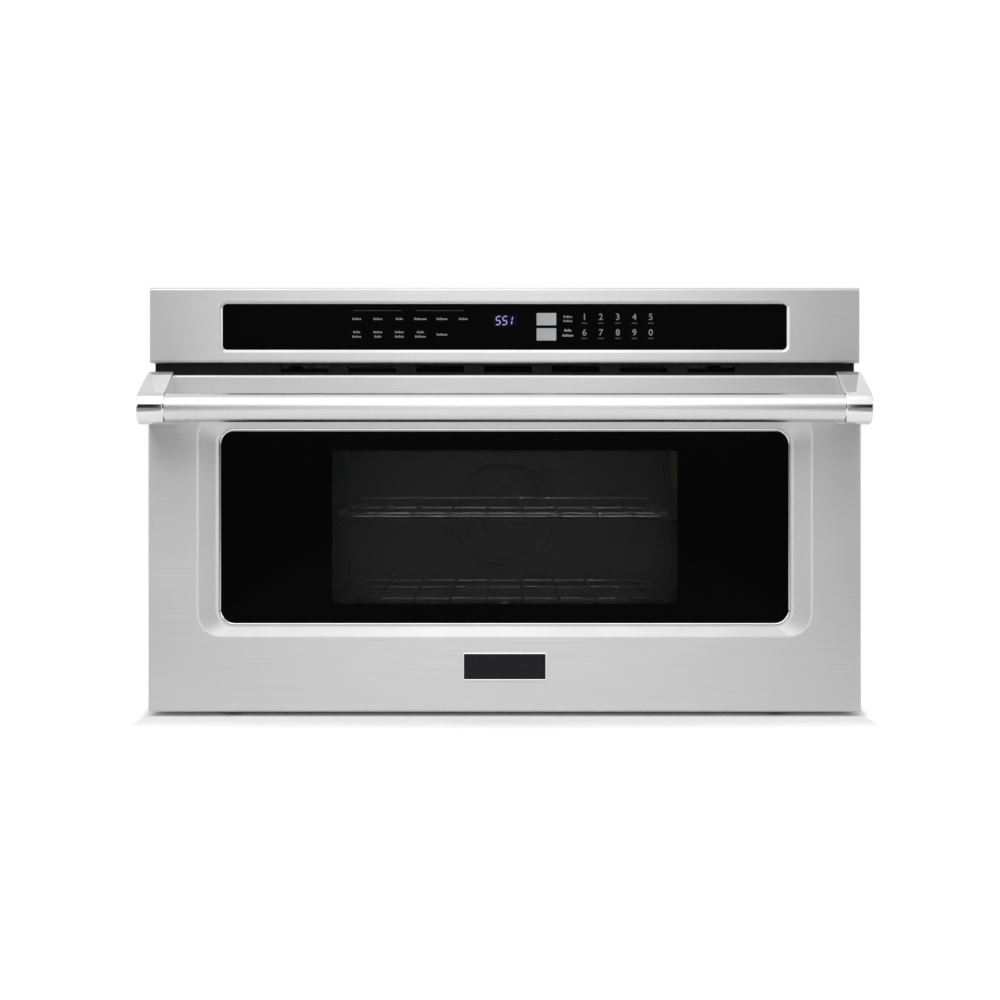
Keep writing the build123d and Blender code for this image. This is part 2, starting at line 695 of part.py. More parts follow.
FASCIA_EDGE_RADIUS = 3.0
FASCIA_RETURN = 10.0
PANEL_HALF_WIDTH = 300.2
PANEL_LOW = 389.2
PANEL_HIGH = 437.8
PANEL_RADIUS = 4.5
PANEL_LIP = 3.0
PANEL_LIP_DEPTH = 1.6
PANEL_FIT = 0.2
PANEL_GLASS_THICKNESS = 4.0


def panel_outline(grow):
    """The control glass's outline grown by a margin, on the sketch in hand."""
    reach = PANEL_HALF_WIDTH + grow
    rounded_span(-reach, reach, PANEL_LOW - grow, PANEL_HIGH + grow, PANEL_RADIUS + grow)


with BuildPart(mode=Mode.PRIVATE) as fascia_inside:
    slab(
        facing(FRAME_FRONT),
        -HALF_FRONT + SHEET,
        HALF_FRONT - SHEET,
        FASCIA_BOTTOM + SHEET,
        FASCIA_TOP - SHEET,
        FRAME_FRONT - FASCIA_FACE - SHEET,
    )
    with BuildSketch(facing(FASCIA_FACE + PANEL_LIP_DEPTH + SHEET)):
        panel_outline(PANEL_LIP)
    extrude(amount=PANEL_LIP_DEPTH, mode=Mode.SUBTRACT)

with BuildPart() as control_fascia:
    slab(
        facing(FRAME_FRONT),
        -HALF_FRONT,
        HALF_FRONT,
        FASCIA_BOTTOM,
        FASCIA_TOP,
        FRAME_FRONT - FASCIA_FACE,
    )
    face_edges = control_fascia.faces().sort_by(Axis.Y)[0].edges()
    fillet(face_edges.filter_by(Axis.X), FASCIA_EDGE_RADIUS)
    with BuildSketch(facing(FASCIA_FACE)):
        panel_outline(PANEL_LIP)
    with BuildSketch(facing(FASCIA_FACE + PANEL_LIP_DEPTH)):
        panel_outline(PANEL_FIT)
    loft(ruled=True, mode=Mode.SUBTRACT)
    add(fascia_inside.part, mode=Mode.SUBTRACT)
    with BuildSketch(facing(FRAME_FRONT)):
        panel_outline(PANEL_FIT)
    extrude(amount=FRAME_FRONT - FASCIA_FACE, mode=Mode.SUBTRACT)
    for low in (FASCIA_BOTTOM + SHEET, FASCIA_TOP - SHEET - FASCIA_RETURN):
        slab(
            facing(FRAME_FRONT),
            -HALF_FRONT + SHEET,
            HALF_FRONT - SHEET,
            low,
            low + FASCIA_RETURN,
            SHEET,
        )

control_fascia.part.label = "control_fascia"
export_step(control_fascia.part, "parts/control_fascia.step")

PANEL_GLASS_REAR = FASCIA_FACE + PANEL_LIP_DEPTH + PANEL_GLASS_THICKNESS
PANEL_GLASS_EDGE = 0.4

with BuildPart() as control_glass:
    with BuildSketch(facing(PANEL_GLASS_REAR)):
        panel_outline(0)
    extrude(amount=PANEL_GLASS_THICKNESS)
    chamfer(control_glass.faces().sort_by(Axis.Y)[0].edges(), length=PANEL_GLASS_EDGE)

control_glass.part.label = "control_glass"
export_step(control_glass.part, "parts/control_glass.step")

BOARD_REAR = 26.0
BOARD_SHEET = 1.6
BOARD_HALF = 200.0
BOARD_LOW = 388.0
BOARD_HIGH = 439.0
BOARD_MIDDLE = (BOARD_LOW + BOARD_HIGH) / 2
DISPLAY_WIDTH = 40.0
DISPLAY_HIGH = 18.0
DISPLAY_HEIGHT = 419.0
PART_RISE = 9.0
TRANSFORMER_X = -140.0
TRANSFORMER_WIDTH = 40.0
TRANSFORMER_HIGH = 35.0
RELAY_X = 130.0
RELAY_SIZE = 15.0
RELAY_PITCH = 20.0

with BuildPart() as control_board:
    slab(facing(BOARD_REAR), -BOARD_HALF, BOARD_HALF, BOARD_LOW, BOARD_HIGH, BOARD_SHEET)
    with BuildSketch(facing(BOARD_REAR - BOARD_SHEET)):
        with Locations((0, DISPLAY_HEIGHT)):
            Rectangle(DISPLAY_WIDTH, DISPLAY_HIGH)
    extrude(amount=BOARD_REAR - BOARD_SHEET - PANEL_GLASS_REAR - GAP)
    with BuildSketch(facing(BOARD_REAR + PART_RISE)):
        with Locations((TRANSFORMER_X, BOARD_MIDDLE)):
            Rectangle(TRANSFORMER_WIDTH, TRANSFORMER_HIGH)
        with Locations((RELAY_X, BOARD_MIDDLE)):
            with GridLocations(RELAY_PITCH, RELAY_PITCH, 4, 2):
                Rectangle(RELAY_SIZE, RELAY_SIZE)
    extrude(amount=PART_RISE)

control_board.part.label = "control_board"
export_step(control_board.part, "parts/control_board.step")

# Vent grille between the fascia and the door

GRILLE_FRONT = 24.0
GRILLE_LOW = DOOR_TOP + 1.2
GRILLE_HIGH = FASCIA_BOTTOM - 0.2
GRILLE_HALF = 374.0
GRILLE_SECTION = 274.0
GRILLE_WALL = 1.6
GRILLE_SLOT = 7.4
LOUVRE_FRONT = GRILLE_FRONT + 1.0
LOUVRE_THICKNESS = 1.2
LOUVRE_RUN = 6.8
LOUVRE_RISE = 5.0

with BuildPart() as vent_grille:
    slab(
        facing(FRAME_FRONT),
        -GRILLE_HALF,
        GRILLE_HALF,
        GRILLE_LOW,
        GRILLE_HIGH,
        FRAME_FRONT - GRILLE_FRONT,
    )
    slab(
        facing(FRAME_FRONT),
        -GRILLE_SECTION + GRILLE_WALL,
        GRILLE_SECTION - GRILLE_WALL,
        GRILLE_LOW + GRILLE_WALL,
        GRILLE_HIGH - GRILLE_WALL,
        FRAME_FRONT - GRILLE_FRONT - 2 * GRILLE_WALL,
        Mode.SUBTRACT,
    )
    with BuildSketch(facing(FRAME_FRONT)):
        with Locations((VENT_SHIFT, (GRILLE_LOW + GRILLE_HIGH) / 2)):
            with GridLocations(VENT_PITCH, 0, VENT_SLOTS, 1):
                Rectangle(VENT_SLOT_WIDTH, GRILLE_SLOT)
    extrude(amount=FRAME_FRONT - GRILLE_FRONT, mode=Mode.SUBTRACT)
    with BuildSketch(across(-GRILLE_SECTION + GRILLE_WALL)):
        with BuildLine():
            low = GRILLE_LOW + GRILLE_WALL
            Polyline(
                (behind(LOUVRE_FRONT), low),
                (behind(LOUVRE_FRONT + LOUVRE_THICKNESS), low),
                (behind(LOUVRE_FRONT + LOUVRE_RUN + LOUVRE_THICKNESS), low + LOUVRE_RISE),
                (behind(LOUVRE_FRONT + LOUVRE_RUN), low + LOUVRE_RISE),
                close=True,
            )
        make_face()
    extrude(amount=2 * (GRILLE_SECTION - GRILLE_WALL))

vent_grille.part.label = "vent_grille"
export_step(vent_grille.part, "parts/vent_grille.step")

# Outer casing: base pan, two sides, top and back, each a folded sheet

PAN_SHEET = 1.2
PAN_RIM = 14.0
PAN_SLOT_PITCH = 14.0
REAR_SHEET_DEPTH = REAR_FACE - SHEET
PANEL_FOLD = 12.0
PANEL_BOTTOM = 0.5
AIR_SLOT = 5.0
AIR_PITCH = 15.0
AIR_SLOTS = 8

with BuildPart() as base_pan:
    pan_half = HALF_CHASSIS - SHEET
    slab(level(0), -pan_half, pan_half, behind(TOE_DEPTH), behind(REAR_SHEET_DEPTH), PAN_RIM)
    offset(amount=-PAN_SHEET, openings=base_pan.faces().sort_by(Axis.Z)[-1])
    with BuildSketch(level(0)):
        with Locations((-255, behind(330)), (255, behind(200))):
            with GridLocations(0, PAN_SLOT_PITCH, 1, AIR_SLOTS):
                Rectangle(70, AIR_SLOT)
    extrude(amount=PAN_SHEET, mode=Mode.SUBTRACT)

base_pan.part.label = "base_pan"
export_step(base_pan.part, "parts/base_pan.step")

with BuildPart() as side_panel_right:
    with BuildSketch(across(HALF_CHASSIS - SHEET)):
        with BuildLine():
            Polyline(
                (behind(FRAME_REAR), CHASSIS_HEIGHT - SHEET),
                (behind(FRAME_REAR), FRAME_FOLD + FRAME_SHEET),
                (behind(TOE_DEPTH), FRAME_FOLD + FRAME_SHEET),
                (behind(TOE_DEPTH), PANEL_BOTTOM),
                (behind(REAR_SHEET_DEPTH), PANEL_BOTTOM),
                (behind(REAR_SHEET_DEPTH), CHASSIS_HEIGHT - SHEET),
                close=True,
            )
        make_face()
        with Locations((behind(500), 250)):
            with GridLocations(0, AIR_PITCH, 1, AIR_SLOTS):
                Rectangle(70, AIR_SLOT, mode=Mode.SUBTRACT)
        with Locations((behind(180), 90)):
            with GridLocations(0, AIR_PITCH, 1, AIR_SLOTS // 2):
                Rectangle(90, AIR_SLOT, mode=Mode.SUBTRACT)
    extrude(amount=SHEET)
    slab(
        level(CHASSIS_HEIGHT - 2 * SHEET),
        HALF_CHASSIS - SHEET - PANEL_FOLD,
        HALF_CHASSIS - SHEET,
        behind(FRAME_REAR),
        behind(REAR_SHEET_DEPTH),
        SHEET,
    )

side_panel_right.part.label = "side_panel_right"
export_step(side_panel_right.part, "parts/side_panel_right.step")

with BuildPart() as side_panel_left:
    mirror(side_panel_right.part, about=Plane.YZ)

side_panel_left.part.label = "side_panel_left"
export_step(side_panel_left.part, "parts/side_panel_left.step")

BEAD_X = 180.0
BEAD_WIDTH = 12.0
BEAD_RISE = 2.5
BEAD_REAR = 500.0
BEAD_LENGTH = 380.0

with BuildPart() as top_cover:
    slab(
        level(CHASSIS_HEIGHT - SHEET),
        -HALF_CHASSIS,
        HALF_CHASSIS,
        behind(FRAME_REAR),
        behind(REAR_FACE),
        SHEET,
    )
    for x in (-BEAD_X, 0, BEAD_X):
        with BuildSketch(facing(BEAD_REAR)):
            with BuildLine():
                Polyline(
                    (x - BEAD_WIDTH / 2, CHASSIS_HEIGHT),
                    (x - BEAD_WIDTH / 4, CHASSIS_HEIGHT + BEAD_RISE),
                    (x + BEAD_WIDTH / 4, CHASSIS_HEIGHT + BEAD_RISE),
                    (x + BEAD_WIDTH / 2, CHASSIS_HEIGHT),
                    close=True,
                )
            make_face()
        extrude(amount=BEAD_LENGTH)
        with BuildSketch(facing(BEAD_REAR - SHEET)):
            with BuildLine():
                Polyline(
                    (x - BEAD_WIDTH / 2 + SHEET, CHASSIS_HEIGHT - SHEET),
                    (x - BEAD_WIDTH / 4 + SHEET / 2, CHASSIS_HEIGHT + BEAD_RISE - SHEET),
                    (x + BEAD_WIDTH / 4 - SHEET / 2, CHASSIS_HEIGHT + BEAD_RISE - SHEET),
                    (x + BEAD_WIDTH / 2 - SHEET, CHASSIS_HEIGHT - SHEET),
                    close=True,
                )
            make_face()
        extrude(amount=BEAD_LENGTH - 2 * SHEET, mode=Mode.SUBTRACT)
    with BuildSketch(level(CHASSIS_HEIGHT - SHEET)):
        with Locations((-260, behind(420)), (260, behind(420))):
            with GridLocations(0, AIR_PITCH, 1, AIR_SLOTS):
                Rectangle(60, AIR_SLOT)
    extrude(amount=SHEET, mode=Mode.SUBTRACT)

top_cover.part.label = "top_cover"
export_step(top_cover.part, "parts/top_cover.step")

FAN_X = 250.0
FAN_HEIGHT = 265.0
FAN_SLOT = 6.0
FAN_SLOT_PITCH = 12.0
GLAND_X = -250.0
GLAND_HEIGHT = 60.0
GLAND_RADIUS = 9.0
PRESSING_HALF = 90.0
PRESSING_LOW = 104.0
PRESSING_HIGH = 284.0
PRESSING_CORNER = 12.0
PRESSING_RISE = 3.0
PRESSING_SLOPE = 30.0

with BuildPart() as rear_panel:
    with BuildSketch(facing(REAR_FACE)):
        span(-HALF_CHASSIS, HALF_CHASSIS, PANEL_BOTTOM, CHASSIS_HEIGHT - SHEET)
        with Locations((FAN_X, FAN_HEIGHT)):
            with GridLocations(0, FAN_SLOT_PITCH, 1, 8):
                Rectangle(92, FAN_SLOT, mode=Mode.SUBTRACT)
        with Locations((-FAN_X, FAN_HEIGHT)):
            with GridLocations(0, FAN_SLOT_PITCH, 1, 5):
                Rectangle(70, FAN_SLOT, mode=Mode.SUBTRACT)
        with Locations((GLAND_X, GLAND_HEIGHT)):
            round_hole(GLAND_RADIUS)
    extrude(amount=SHEET)
    with BuildSketch(facing(REAR_SHEET_DEPTH)) as pressing:
        span(-PRESSING_HALF, PRESSING_HALF, PRESSING_LOW, PRESSING_HIGH)
        chamfer(pressing.vertices(), PRESSING_CORNER)
    extrude(amount=-(SHEET + PRESSING_RISE), taper=PRESSING_SLOPE)
    with BuildSketch(facing(REAR_SHEET_DEPTH)) as hollow:
        inner = PRESSING_HALF - SHEET
        span(-inner, inner, PRESSING_LOW + SHEET, PRESSING_HIGH - SHEET)
        chamfer(hollow.vertices(), PRESSING_CORNER)
    extrude(amount=-PRESSING_RISE, taper=PRESSING_SLOPE, mode=Mode.SUBTRACT)

rear_panel.part.label = "rear_panel"
export_step(rear_panel.part, "parts/rear_panel.step")

# Cavity: the welded steel box that food goes in

SHAFT_HOLE_RADIUS = 9.0
FAN_PORT_RADIUS = 62.0
FAN_CENTRE_HEIGHT = 194.0
PORT_DEPTH = 250.0
PORT_HEIGHT = 262.0
PORT_HALF_WIDTH = 40.0
PORT_HALF_HEIGHT = 20.0
LAMP_DEPTH = 170.0
LAMP_HEIGHT = 285.0
GRILL_TUBE = 3.4
GRILL_HEIGHT = CAVITY_CEILING - 14.0
GRILL_RUNS = 4
GRILL_PITCH = 76.0
GRILL_FRONT = 105.0
GRILL_REAR = 395.0
GRILL_BEND = 12.0
GRILL_LEG = 20.0
GRILL_HOLE_RADIUS = 4.0
GRILL_LEG_X = GRILL_PITCH * (GRILL_RUNS - 1) / 2

with BuildPart() as cavity:
    with BuildSketch(facing(CAVITY_BACK + LINER_SHEET)):
        with Locations((0, (CAVITY_FLOOR + CAVITY_CEILING) / 2)):
            RectangleRounded(
                CAVITY_WIDTH + 2 * LINER_SHEET,
                CAVITY_HEIGHT + 2 * LINER_SHEET,
                CAVITY_CORNER + LINER_SHEET,
            )
    extrude(amount=CAVITY_DEPTH + LINER_SHEET)
    with BuildSketch(facing(CAVITY_BACK)):
        with Locations((0, (CAVITY_FLOOR + CAVITY_CEILING) / 2)):
            RectangleRounded(CAVITY_WIDTH, CAVITY_HEIGHT, CAVITY_CORNER)
    extrude(amount=CAVITY_DEPTH, mode=Mode.SUBTRACT)
    with BuildSketch(level(CAVITY_FLOOR - LINER_SHEET)):
        with Locations((0, behind(TURNTABLE_DEPTH))):
            round_hole(SHAFT_HOLE_RADIUS, Mode.ADD)
    extrude(amount=LINER_SHEET, mode=Mode.SUBTRACT)
    with BuildSketch(facing(CAVITY_BACK + LINER_SHEET)):
        with Locations((0, FAN_CENTRE_HEIGHT)):
            round_hole(FAN_PORT_RADIUS, Mode.ADD)
        with Locations((-GRILL_LEG_X, GRILL_HEIGHT), (GRILL_LEG_X, GRILL_HEIGHT)):
            round_hole(GRILL_HOLE_RADIUS, Mode.ADD)
    extrude(amount=LINER_SHEET, mode=Mode.SUBTRACT)
    with BuildSketch(across(HALF_CAVITY)):
        with Locations((behind(PORT_DEPTH), PORT_HEIGHT)):
            Rectangle(2 * PORT_HALF_WIDTH, 2 * PORT_HALF_HEIGHT)
    extrude(amount=LINER_SHEET, mode=Mode.SUBTRACT)
    with BuildSketch(across(-HALF_CAVITY - LINER_SHEET)):
        with Locations((behind(LAMP_DEPTH), LAMP_HEIGHT)):
            with GridLocations(0, 8, 1, 5):
                Rectangle(36, 4)
    extrude(amount=LINER_SHEET, mode=Mode.SUBTRACT)

cavity.part.label = "cavity"
export_step(cavity.part, "parts/cavity.step")

# Rack guides: pressed strips with a ledge under each rack

WIRE_RADIUS = 2.0
WIRE_SIDES = 8
BAR_RADIUS = 2.25
UPPER_BAR_HEIGHT = 208.6
LOWER_BAR_HEIGHT = 112.2
GUIDE_SHEET = 1.2
GUIDE_INNER = 174.0
GUIDE_REAR_PLAY = 12.0
GUIDE_LENGTH = CAVITY_DEPTH - 30.0
GUIDE_TOP = 12.0
LEDGE_SLOPE = 16.0
LEDGE_LIP = 4.0
UPPER_LEDGE = UPPER_BAR_HEIGHT - BAR_RADIUS - GAP
LOWER_LEDGE = LOWER_BAR_HEIGHT - BAR_RADIUS - GAP


with BuildPart() as rack_guide_right:
    with BuildSketch(facing(CAVITY_BACK - GUIDE_REAR_PLAY)):
        strip = HALF_CAVITY - GUIDE_SHEET
        for ledge in (LOWER_LEDGE, UPPER_LEDGE):
            with BuildLine():
                Polyline(
                    (HALF_CAVITY, ledge - LEDGE_SLOPE - 2 * GUIDE_SHEET),
                    (GUIDE_INNER, ledge - LEDGE_LIP),
                    (GUIDE_INNER, ledge),
                    (HALF_CAVITY, ledge),
                    close=True,
                )
            make_face()
            with BuildLine():
                Polyline(
                    (strip, ledge - LEDGE_SLOPE),
                    (GUIDE_INNER + GUIDE_SHEET, ledge - LEDGE_LIP),
                    (GUIDE_INNER + GUIDE_SHEET, ledge - GUIDE_SHEET),
                    (strip, ledge - GUIDE_SHEET),
                    close=True,
                )
            make_face(mode=Mode.SUBTRACT)
        span(strip, HALF_CAVITY, LOWER_LEDGE - LEDGE_SLOPE, UPPER_LEDGE + GUIDE_TOP)
    extrude(amount=GUIDE_LENGTH)

rack_guide_right.part.label = "rack_guide_right"
export_step(rack_guide_right.part, "parts/rack_guide_right.step")

with BuildPart() as rack_guide_left:
    mirror(rack_guide_right.part, about=Plane.YZ)

rack_guide_left.part.label = "rack_guide_left"
export_step(rack_guide_left.part, "parts/rack_guide_left.step")

# Racks: ten wires on cross bars

WIRE_PITCH = 40.0
WIRES = 10
BAR_HALF = 181.3
RACK_FRONT = 49.0
RACK_REAR = 442.0
WELD = 0.3


def wire_section(radius):
    """Eight-sided section of a drawn wire with its flats level, on the sketch in hand."""
    RegularPolygon(radius, WIRE_SIDES, major_radius=False, rotation=180 / WIRE_SIDES)


def rack(bar_height, bars_below, bars_above, stub):
    """Wire rack: wires front to back on bars, and stubs turned up at their rear ends."""
    wire_height = bar_height + BAR_RADIUS + WIRE_RADIUS - WELD
    with BuildPart(mode=Mode.PRIVATE) as grid:
        with BuildSketch(facing(RACK_REAR)):
            with Locations((0, wire_height)):
                with GridLocations(WIRE_PITCH, 0, WIRES, 1):
                    wire_section(WIRE_RADIUS)
        extrude(amount=RACK_REAR - RACK_FRONT)
        with BuildSketch(across(-BAR_HALF)):
            with Locations(*[(behind(depth), bar_height) for depth in bars_below]):
                wire_section(BAR_RADIUS)
            if bars_above:
                above = wire_height + BAR_RADIUS + WIRE_RADIUS - WELD
                with Locations(*[(behind(depth), above) for depth in bars_above]):
                    wire_section(BAR_RADIUS)
        extrude(amount=2 * BAR_HALF)
        if stub:
            with BuildSketch(level(wire_height)):
                with Locations((0, behind(RACK_REAR - WIRE_RADIUS))):
                    with GridLocations(WIRE_PITCH, 0, WIRES, 1):
                        wire_section(WIRE_RADIUS)
            extrude(amount=stub)
    return grid.part


with BuildPart() as upper_rack:
    add(rack(UPPER_BAR_HEIGHT, (52, 150, 320), (436,), 0))

upper_rack.part.label = "upper_rack"
export_step(upper_rack.part, "parts/upper_rack.step")

with BuildPart() as lower_rack:
    add(rack(LOWER_BAR_HEIGHT, (52, 150, 320, 430), (), 4))

lower_rack.part.label = "lower_rack"
export_step(lower_rack.part, "parts/lower_rack.step")

# Turntable and the roller ring under it

TRAY_RADIUS = 172.5
TRAY_RIM_TOP = 108.4
ROLLER_RADIUS = 7.0
ROLLER_HEIGHT = CAVITY_FLOOR + ROLLER_RADIUS + GAP
TRAY_UNDERSIDE = ROLLER_HEIGHT + ROLLER_RADIUS + GAP
TRAY_THICKNESS = 4.0
COUPLER_RADIUS = 15.0
SOCKET_DEPTH = 2.8

TRAY_RIM = 14.0
TRAY_BEND = 16.0
TRAY_SIDES = 60
COUPLER_CORNER = 3.0
TURNTABLE_AXIS = (0, behind(TURNTABLE_DEPTH))

with BuildPart() as turntable:
    with BuildSketch(level(TRAY_UNDERSIDE)):
        with Locations(TURNTABLE_AXIS):
            RegularPolygon(TRAY_RADIUS - TRAY_RIM, TRAY_SIDES)
    with BuildSketch(level(TRAY_RIM_TOP)):
        with Locations(TURNTABLE_AXIS):
            RegularPolygon(TRAY_RADIUS, TRAY_SIDES)
    loft()
    with BuildSketch(level(TRAY_UNDERSIDE + TRAY_THICKNESS)):
        with Locations(TURNTABLE_AXIS):
            RegularPolygon(TRAY_RADIUS - TRAY_BEND, TRAY_SIDES)
    with BuildSketch(level(TRAY_RIM_TOP)):
        with Locations(TURNTABLE_AXIS):
            RegularPolygon(TRAY_RADIUS - TRAY_THICKNESS, TRAY_SIDES)
    loft(mode=Mode.SUBTRACT)
    with BuildSketch(level(TRAY_UNDERSIDE)) as socket:
        with Locations(TURNTABLE_AXIS):
            RegularPolygon(COUPLER_RADIUS + 1, 3)
        chamfer(socket.vertices(), COUPLER_CORNER)
    extrude(amount=SOCKET_DEPTH, mode=Mode.SUBTRACT)

turntable.part.label = "turntable"
export_step(turntable.part, "parts/turntable.step")

MOTOR_SHAFT_RADIUS = 3.5
MOTOR_SHAFT_LOW = CAVITY_FLOOR - 25.0
COUPLER_HUB_RADIUS = 6.5
COUPLER_FOOT = CAVITY_FLOOR - 6.0
LOBE_THICKNESS = 5.0
LOBE_TOP = TRAY_UNDERSIDE + SOCKET_DEPTH - 0.1

with BuildPart() as drive_coupler:
    with BuildSketch(level(COUPLER_FOOT)):
        with Locations(TURNTABLE_AXIS):
            round_bar(COUPLER_HUB_RADIUS)
    extrude(amount=TRAY_UNDERSIDE - COUPLER_FOOT)
    with BuildSketch(level(TRAY_UNDERSIDE - LOBE_THICKNESS)) as lobes:
        with Locations(TURNTABLE_AXIS):
            RegularPolygon(COUPLER_RADIUS, 3)
        chamfer(lobes.vertices(), COUPLER_CORNER)
    extrude(amount=LOBE_TOP - TRAY_UNDERSIDE + LOBE_THICKNESS)
    with BuildSketch(level(MOTOR_SHAFT_LOW)):
        with Locations(TURNTABLE_AXIS):
            round_bar(MOTOR_SHAFT_RADIUS)
    extrude(amount=COUPLER_FOOT - MOTOR_SHAFT_LOW)

drive_coupler.part.label = "drive_coupler"
export_step(drive_coupler.part, "parts/drive_coupler.step")

RING_ROLLERS = 3
ROLLER_CIRCLE = 98.0
ROLLER_WIDTH = 7.0
AXLE_RADIUS = 2.0
AXLE_INNER = 8.0
AXLE_OUTER = 2.0
RING_OUTER = 26.0
RING_INNER = 17.0
RING_ARM = 8.0
RING_ARM_END = ROLLER_CIRCLE - ROLLER_WIDTH / 2 - 4.0
RING_THICKNESS = 5.0


def roller_axis(index):
    """Plane across one roller's axle, facing outwards from the turntable's axis."""
    turn = radians(90 + index * 360 / RING_ROLLERS)
    return Plane(
        origin=(0, behind(TURNTABLE_DEPTH), ROLLER_HEIGHT),
        x_dir=(0, 0, 1),
        z_dir=(cos(turn), sin(turn), 0),
    )


def roller(index):
    """One roller, bored to run on its axle."""
    with BuildPart(mode=Mode.PRIVATE) as wheel:
        with BuildSketch(roller_axis(index).offset(ROLLER_CIRCLE - ROLLER_WIDTH / 2)):
            round_bar(ROLLER_RADIUS)
            round_hole(AXLE_RADIUS + RUNNING_CLEARANCE)
        extrude(amount=ROLLER_WIDTH)
    return wheel.part


with BuildPart() as roller_ring:
    with BuildSketch(level(ROLLER_HEIGHT - RING_THICKNESS / 2)):
        with Locations(TURNTABLE_AXIS):
            round_bar(RING_OUTER)
            with PolarLocations(RING_ARM_END / 2, RING_ROLLERS, start_angle=90):
                Rectangle(RING_ARM_END, RING_ARM)
            round_hole(RING_INNER)
    extrude(amount=RING_THICKNESS)
    for i in range(RING_ROLLERS):
        with BuildSketch(roller_axis(i).offset(ROLLER_CIRCLE - ROLLER_WIDTH / 2 - AXLE_INNER)):
            round_bar(AXLE_RADIUS)
        extrude(amount=AXLE_INNER + ROLLER_WIDTH + AXLE_OUTER)

roller_ring.part.label = "roller_ring"
export_step(roller_ring.part, "parts/roller_ring.step")

with BuildPart() as roller_1:
    add(roller(0))

roller_1.part.label = "roller_1"
export_step(roller_1.part, "parts/roller_1.step")

with BuildPart() as roller_2:
    add(roller(1))

roller_2.part.label = "roller_2"
export_step(roller_2.part, "parts/roller_2.step")

with BuildPart() as roller_3:
    add(roller(2))

roller_3.part.label = "roller_3"
export_step(roller_3.part, "parts/roller_3.step")

MOTOR_CAN_RADIUS = 25.0
MOTOR_CAN_LOW = CAVITY_FLOOR - 34.0
MOTOR_CAN_HEIGHT = 16.0
MOTOR_LUG_LENGTH = 68.0
MOTOR_LUG_WIDTH = 14.0
MOTOR_LUG_SHEET = 1.6
MOTOR_BOSS_RADIUS = 9.0
MOTOR_BOSS_TOP = CAVITY_FLOOR - 14.0

with BuildPart() as turntable_motor:
    can_top = MOTOR_CAN_LOW + MOTOR_CAN_HEIGHT
    with BuildSketch(level(MOTOR_CAN_LOW)):
        with Locations(TURNTABLE_AXIS):
            round_bar(MOTOR_CAN_RADIUS)
    extrude(amount=MOTOR_CAN_HEIGHT)
    with BuildSketch(level(can_top - MOTOR_LUG_SHEET)):
        with Locations(TURNTABLE_AXIS):
            Rectangle(MOTOR_LUG_LENGTH, MOTOR_LUG_WIDTH)
    extrude(amount=MOTOR_LUG_SHEET)
    with BuildSketch(level(can_top)):
        with Locations(TURNTABLE_AXIS):
            round_bar(MOTOR_BOSS_RADIUS)
    extrude(amount=MOTOR_BOSS_TOP - can_top)
    with BuildSketch(level(MOTOR_SHAFT_LOW - 1)):
        with Locations(TURNTABLE_AXIS):
            round_hole(MOTOR_SHAFT_RADIUS + RUNNING_CLEARANCE, Mode.ADD)
    extrude(amount=MOTOR_BOSS_TOP - MOTOR_SHAFT_LOW + 1, mode=Mode.SUBTRACT)

turntable_motor.part.label = "turntable_motor"
export_step(turntable_motor.part, "parts/turntable_motor.step")

# Convection: a pressed cover in the cavity, and behind it the fan, its ring heater and its motor

COVER_RADIUS = 68.0
COVER_SIDES = 24
COVER_PROUD = 7.0
COVER_EYE = 22.0
EYE_DEPTH = 3.0
COVER_SLOT_RADIUS = 44.0
COVER_SLOT_LENGTH = 26.0
COVER_SLOT_WIDTH = 5.0
EYE_SLOT_RADIUS = 13.0
EYE_SLOT_LENGTH = 10.0
EYE_SLOT_WIDTH = 4.0
COVER_FACE = CAVITY_BACK - COVER_PROUD

with BuildPart() as fan_cover:
    with BuildSketch(facing(CAVITY_BACK)):
        with Locations((0, FAN_CENTRE_HEIGHT)):
            RegularPolygon(COVER_RADIUS, COVER_SIDES)
    extrude(amount=COVER_PROUD, taper=45)
    offset(amount=-SHEET, openings=fan_cover.faces().sort_by(Axis.Y)[-1])
    with BuildSketch(facing(COVER_FACE + SHEET + EYE_DEPTH)):
        with Locations((0, FAN_CENTRE_HEIGHT)):
            RegularPolygon(COVER_EYE + SHEET, COVER_SIDES)
    extrude(amount=EYE_DEPTH)
    with BuildSketch(facing(COVER_FACE + EYE_DEPTH)):
        with Locations((0, FAN_CENTRE_HEIGHT)):
            RegularPolygon(COVER_EYE, COVER_SIDES)
    extrude(amount=EYE_DEPTH, mode=Mode.SUBTRACT)
    with BuildSketch(facing(CAVITY_BACK)):
        with Locations((0, FAN_CENTRE_HEIGHT)):
            with PolarLocations(COVER_SLOT_RADIUS, 12):
                Rectangle(COVER_SLOT_LENGTH, COVER_SLOT_WIDTH)
            with PolarLocations(EYE_SLOT_RADIUS, 6):
                Rectangle(EYE_SLOT_LENGTH, EYE_SLOT_WIDTH)
    extrude(amount=COVER_PROUD, mode=Mode.SUBTRACT)

fan_cover.part.label = "fan_cover"
export_step(fan_cover.part, "parts/fan_cover.step")

HOUSING_HALF = 98.0
HOUSING_SIDES = 8
HOUSING_DEPTH = 42.0
HOUSING_FLANGE = 10.0
HOUSING_REAR = CAVITY_BACK + LINER_SHEET + HOUSING_DEPTH
MOTOR_PORT_RADIUS = 8.0
HEATER_LEG_X = 30.0
HEATER_LEG_DROP = 70.0
HEATER_PORT_RADIUS = 5.0


def housing_outline(reach, mode=Mode.ADD):
    """Eight-sided outline of the convection housing, on the sketch in hand."""
    RegularPolygon(reach, HOUSING_SIDES, major_radius=False, rotation=22.5, mode=mode)


